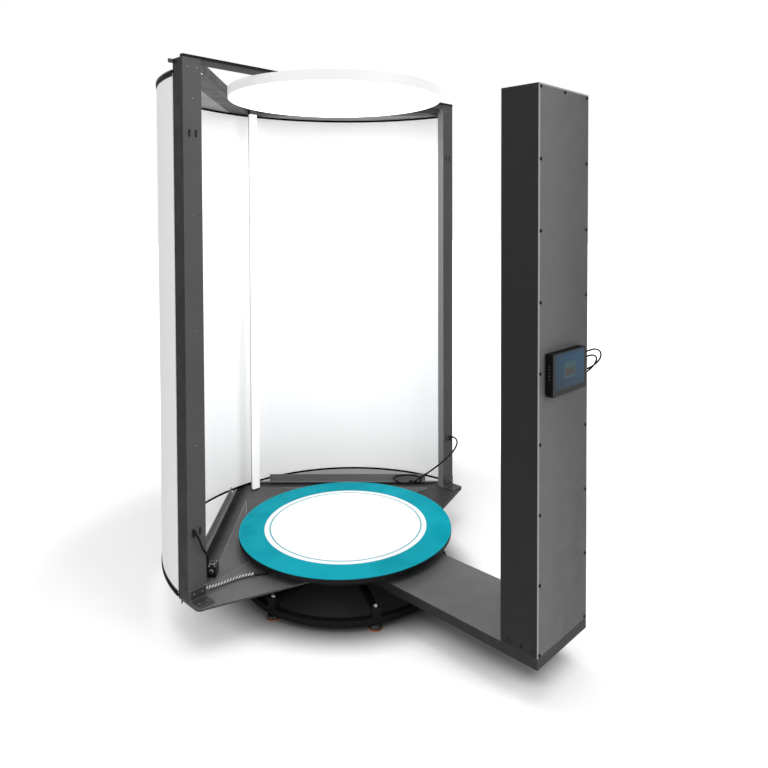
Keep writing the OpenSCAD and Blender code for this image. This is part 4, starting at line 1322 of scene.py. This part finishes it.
@dataclass
class SheetScrews(Fitting):
    """Pan-head screws with a hexagon socket, at the places of one CAD node's screws."""

    node: str
    name: str
    slot: Slot
    head: float = 9.0
    wide: float = 9.0
    height: float = 3.0
    socket: float = 3.6
    socket_depth: float = 1.6

    def screw(self) -> Piece:
        """One screw's head along the z axis, from its seat at 0 up.

        Returns:
            The screw's head.
        """
        r, h = self.wide / 2, self.height
        flat = r - 1.4
        piece = Bench.turned("screw", [(r - 0.3, 0.0), (r, 0.3), (r, h * 0.45), (r - 0.5, h * 0.75), (flat, h)], 24)
        with Bench.editing("DESELECT"):
            bpy.ops.mesh.select_mode(type="FACE")
        top = max(piece.data.polygons, key=lambda face: face.center.z)
        top.select = True
        with Bench.editing(None):
            bpy.ops.mesh.inset(thickness=(flat - self.socket / 2) * MM)
            bpy.ops.mesh.extrude_region_move(TRANSFORM_OT_translate={"value": (0.0, 0.0, -self.socket_depth * MM)})
        for vertex in piece.data.vertices:
            if vertex.co.xy.length < (self.socket / 2 + 0.05) * MM:
                turn = math.degrees(math.atan2(vertex.co.y, vertex.co.x)) % 60.0 - 30.0
                vertex.co.xy *= math.cos(math.radians(30.0)) / math.cos(math.radians(turn))
        bpy.ops.object.shade_smooth_by_angle(angle=math.radians(35.0))
        return piece

    def build(self, finishes: Finishes) -> None:
        """Puts a screw at each place.

        Args:
            finishes: the materials.
        """
        places = []
        for solid in solids_of(self.node):
            size = solid.high - solid.low
            axis = max(range(3), key=lambda i: abs(size[i] / MM - self.head))
            outward = (math.copysign(1.0, solid.middle.x), -1.0, 1.0)[axis]
            towards = Vector(outward if i == axis else 0.0 for i in range(3))
            end = solid.high if outward > 0 else solid.low
            at = solid.middle.copy()
            at[axis] = end[axis] - outward * self.height * MM
            places.append((at, towards))
        screws = Bench.scatter(self.screw(), places, self.name)
        Bench.mount(screws, finishes, self.slot, "frame", self.node)


@dataclass
class SlotEdging(Fitting):
    """Black rubber inserts that close the posts' cable slots."""

    post_middle: float = 783.0
    pitch: float = 28.0
    width: float = 12.0
    length: float = 32.0
    front: float = 10.0
    depth: float = 3.0
    heights: tuple[float, ...] = (449.0, 2012.0)

    def insert(self) -> Piece:
        """One insert along the z axis: an oblong tray with a raised lip.

        Returns:
            The insert.
        """
        r, reach = self.width / 2 - 0.15, (self.length - self.width) / 2
        steps = [(r, -self.depth), (r, -0.2), (r - 0.2, 0.0), (r - 1.2, 0.0), (r - 1.8, -1.4)]
        piece = Bench.turned("insert", steps, 32)
        for vertex in piece.data.vertices:
            vertex.co.y += math.copysign(reach, vertex.co.y) * MM
        return piece

    def build(self, finishes: Finishes) -> None:
        """Puts an insert into each free slot.

        Args:
            finishes: the materials.
        """
        places = []
        for side in (-1, 1):
            for height in self.heights:
                for step in (-0.5, 0.5):
                    if height == self.heights[0] and step * side > 0:
                        continue
                    at = Vector((side * self.post_middle + step * self.pitch, self.front, height)) * MM
                    places.append((at, Vector((0.0, -1.0, 0.0))))
        Bench.mount(Bench.scatter(self.insert(), places, "slot_edging"), finishes, Slot.RUBBER, "frame")


@dataclass
class BoxFittings(Fitting):
    """Fittings of the junction box: a screwed lid, a plated cable gland and a round plug on top."""

    middle: Point = (-640.0, 130.0, 222.0)
    turn: float = -134.26
    lid: Point = (52.0, 32.0, 3.0)
    gland_at: Point = (-660.0, 110.0, 207.0)
    gland_along: Point = (-17.0, -15.0, 3.0)
    lid_rounding: float = 1.2
    plug_off: float = 10.0
    screw_off: Span = (21.0, 11.5)
    plug: tuple[Span, ...] = ((10.0, 0.0), (10.0, 3.0), (8.5, 3.6), (8.5, 14.0), (7.6, 15.0), (5.0, 15.4))
    sleeve: tuple[Span, ...] = ((8.4, 8.0), (8.6, 9.0), (8.2, 15.0), (5.6, 20.0))
    head: tuple[Span, ...] = ((2.6, 0.0), (2.6, 0.8), (1.8, 1.5), (0.9, 1.6))

    def plate(self) -> Piece:
        """The lid with rounded corners, on top of the box.

        Returns:
            The lid.
        """
        Bench.clear()
        bpy.ops.mesh.primitive_cube_add(size=1.0)
        piece = bpy.context.object
        piece.scale = tuple(side * MM for side in self.lid)
        bpy.ops.object.transform_apply(scale=True)
        Bench.bevel(self.lid_rounding, 3, 40.0)
        piece.rotation_euler = (0.0, 0.0, math.radians(self.turn))
        bpy.ops.object.transform_apply(rotation=True)
        return Bench.place(piece, Vector(self.middle) * MM + Vector((0.0, 0.0, self.lid[2] / 2 * MM)))

    def build(self, finishes: Finishes) -> None:
        """Makes the fittings.

        Args:
            finishes: the materials.
        """
        top = Vector(self.middle) * MM + Vector((0.0, 0.0, self.lid[2] * MM))
        along = Vector((math.cos(math.radians(self.turn)), math.sin(math.radians(self.turn)), 0.0))
        across = Vector((-along.y, along.x, 0.0))
        gland, out = Vector(self.gland_at) * MM, Vector(self.gland_along).normalized()
        plug_at = top + along * self.plug_off * MM
        dark = [self.plate(), Bench.place(Bench.turned("plug", self.plug, 32), plug_at)]
        dark.append(Bench.place(Bench.turned("dome", self.sleeve, 24), gland, out))
        bright = [Bench.place(Bench.hexagon("nut", 22.0, 0.5, 8.5, 0.9), gland, out)]
        bright.append(Bench.place(Bench.hexagon("ring", 23.0, 4.0, 8.5, 0.8), plug_at))
        for a in (-self.screw_off[0], self.screw_off[0]):
            for b in (-self.screw_off[1], self.screw_off[1]):
                at = top + (along * a + across * b) * MM
                bright.append(Bench.place(Bench.turned("head", self.head, 16), at))
        Bench.mount(Bench.join(dark, "box_lid"), finishes, Slot.BLACK_PLASTIC, "frame")
        Bench.mount(Bench.join(bright, "box_nuts"), finishes, Slot.BRIGHT_STEEL, "frame")


@dataclass
class ConduitSleeve(Fitting):
    """Black shrink sleeve on the drive conduit, where it goes under the turntable."""

    start: float = -528.0
    end: float = -470.0
    radius: float = 7.9

    def build(self, finishes: Finishes) -> None:
        """Makes the sleeve on the conduit's own route.

        Args:
            finishes: the materials.
        """
        conduit = next(cord for cord in CORDS if cord.node == "braided_conduit")
        line = [point for point in conduit.route() if self.start * MM <= point.x <= self.end * MM]
        Bench.mount(tube("conduit_sleeve", [line], self.radius), finishes, Slot.RUBBER, "frame")


CORDS = (
    Cord("left_post_lead", "left_post_cord", Slot.CORD_JACKET, 9.0, (
        (-797, 2, 456), (-797, -12, 450), (-790, -18, 432), (-778, -16, 402), (-762, -8, 372), (-744, 0, 348),
        (-731, 18, 312), (-718, 42, 280), (-704, 66, 250), (-690, 82, 224), (-677, 95, 210), (-660, 110, 207))),
    Cord("right_post_lead", "right_post_cord", Slot.CORD_JACKET, 9.0, (
        (797, 2, 455), (803, -14, 455), (812, -26, 444), (813, -30, 422), (787, -31, 393), (735, -26, 363),
        (693, 2, 325), (675, 50, 281), (658, 100, 240), (641, 140, 207), (626, 172, 191), (606, 221, 193),
        (605, 262, 202), (631, 253, 214), (666, 190, 225), (688, 146, 220), (690, 128, 206), (680, 142, 193),
        (672, 166, 190), (668, 188, 193))),
    Cord("drive_conduit", "braided_conduit", Slot.BRAID, 15.0, (
        (-735, 30, 194), (-714, 30, 193), (-690, 29, 190), (-650, 26, 188.4), (-600, 21, 187.9), (-560, 10, 187.9),
        (-520, -10, 187.9), (-480, -32, 187.9), (-430, -42, 187.9), (-370, -34, 187.9), (-310, -14, 187.4),
        (-260, 0, 183.2), (-225, 0, 182.5)), stiffness="stiff", steps=16, strands=4, pitch=27.0, strand_share=0.42),
    Cord("monitor_lead_1", "monitor_cable_1", Slot.CORD_JACKET, 6.5, (
        (113, -1166, 1192), (142, -1166, 1193), (184, -1168, 1193), (216, -1170, 1185), (238, -1168, 1169),
        (246, -1160, 1147), (240, -1146, 1127), (224, -1128, 1111), (204, -1112, 1103), (178, -1106, 1101)),
        lay="hanging", stiffness="stiff"),
    Cord("monitor_lead_2", "monitor_cable_2", Slot.CORD_JACKET, 6.5, (
        (113, -1166, 1174), (140, -1166, 1174), (176, -1167, 1172), (202, -1166, 1162), (218, -1160, 1146),
        (222, -1148, 1125), (216, -1132, 1105), (202, -1116, 1089), (190, -1106, 1082), (178, -1104, 1081)),
        lay="hanging", stiffness="stiff"),
)


def main() -> None:
    """Builds the studio, the cords, the CAD nodes' finishes and the added pieces, in this order."""
    logging.basicConfig(level=logging.INFO, format="%(message)s")
    finishes = Finishes()
    Studio().build()
    for cord in CORDS:
        cord.build(finishes)
    finishes.dress_nodes()
    post_screws = SheetScrews("frame_screws", "post_screws", Slot.BLACK_STEEL)
    column_screws = SheetScrews("cover_screws", "column_screws", Slot.BLACK_STEEL, wide=12.5)
    for fitting in (LevellingFeet(), post_screws, column_screws, BoxFittings(), ConduitSleeve(), SlotEdging()):
        fitting.build(finishes)


if __name__ == "__main__":
    main()
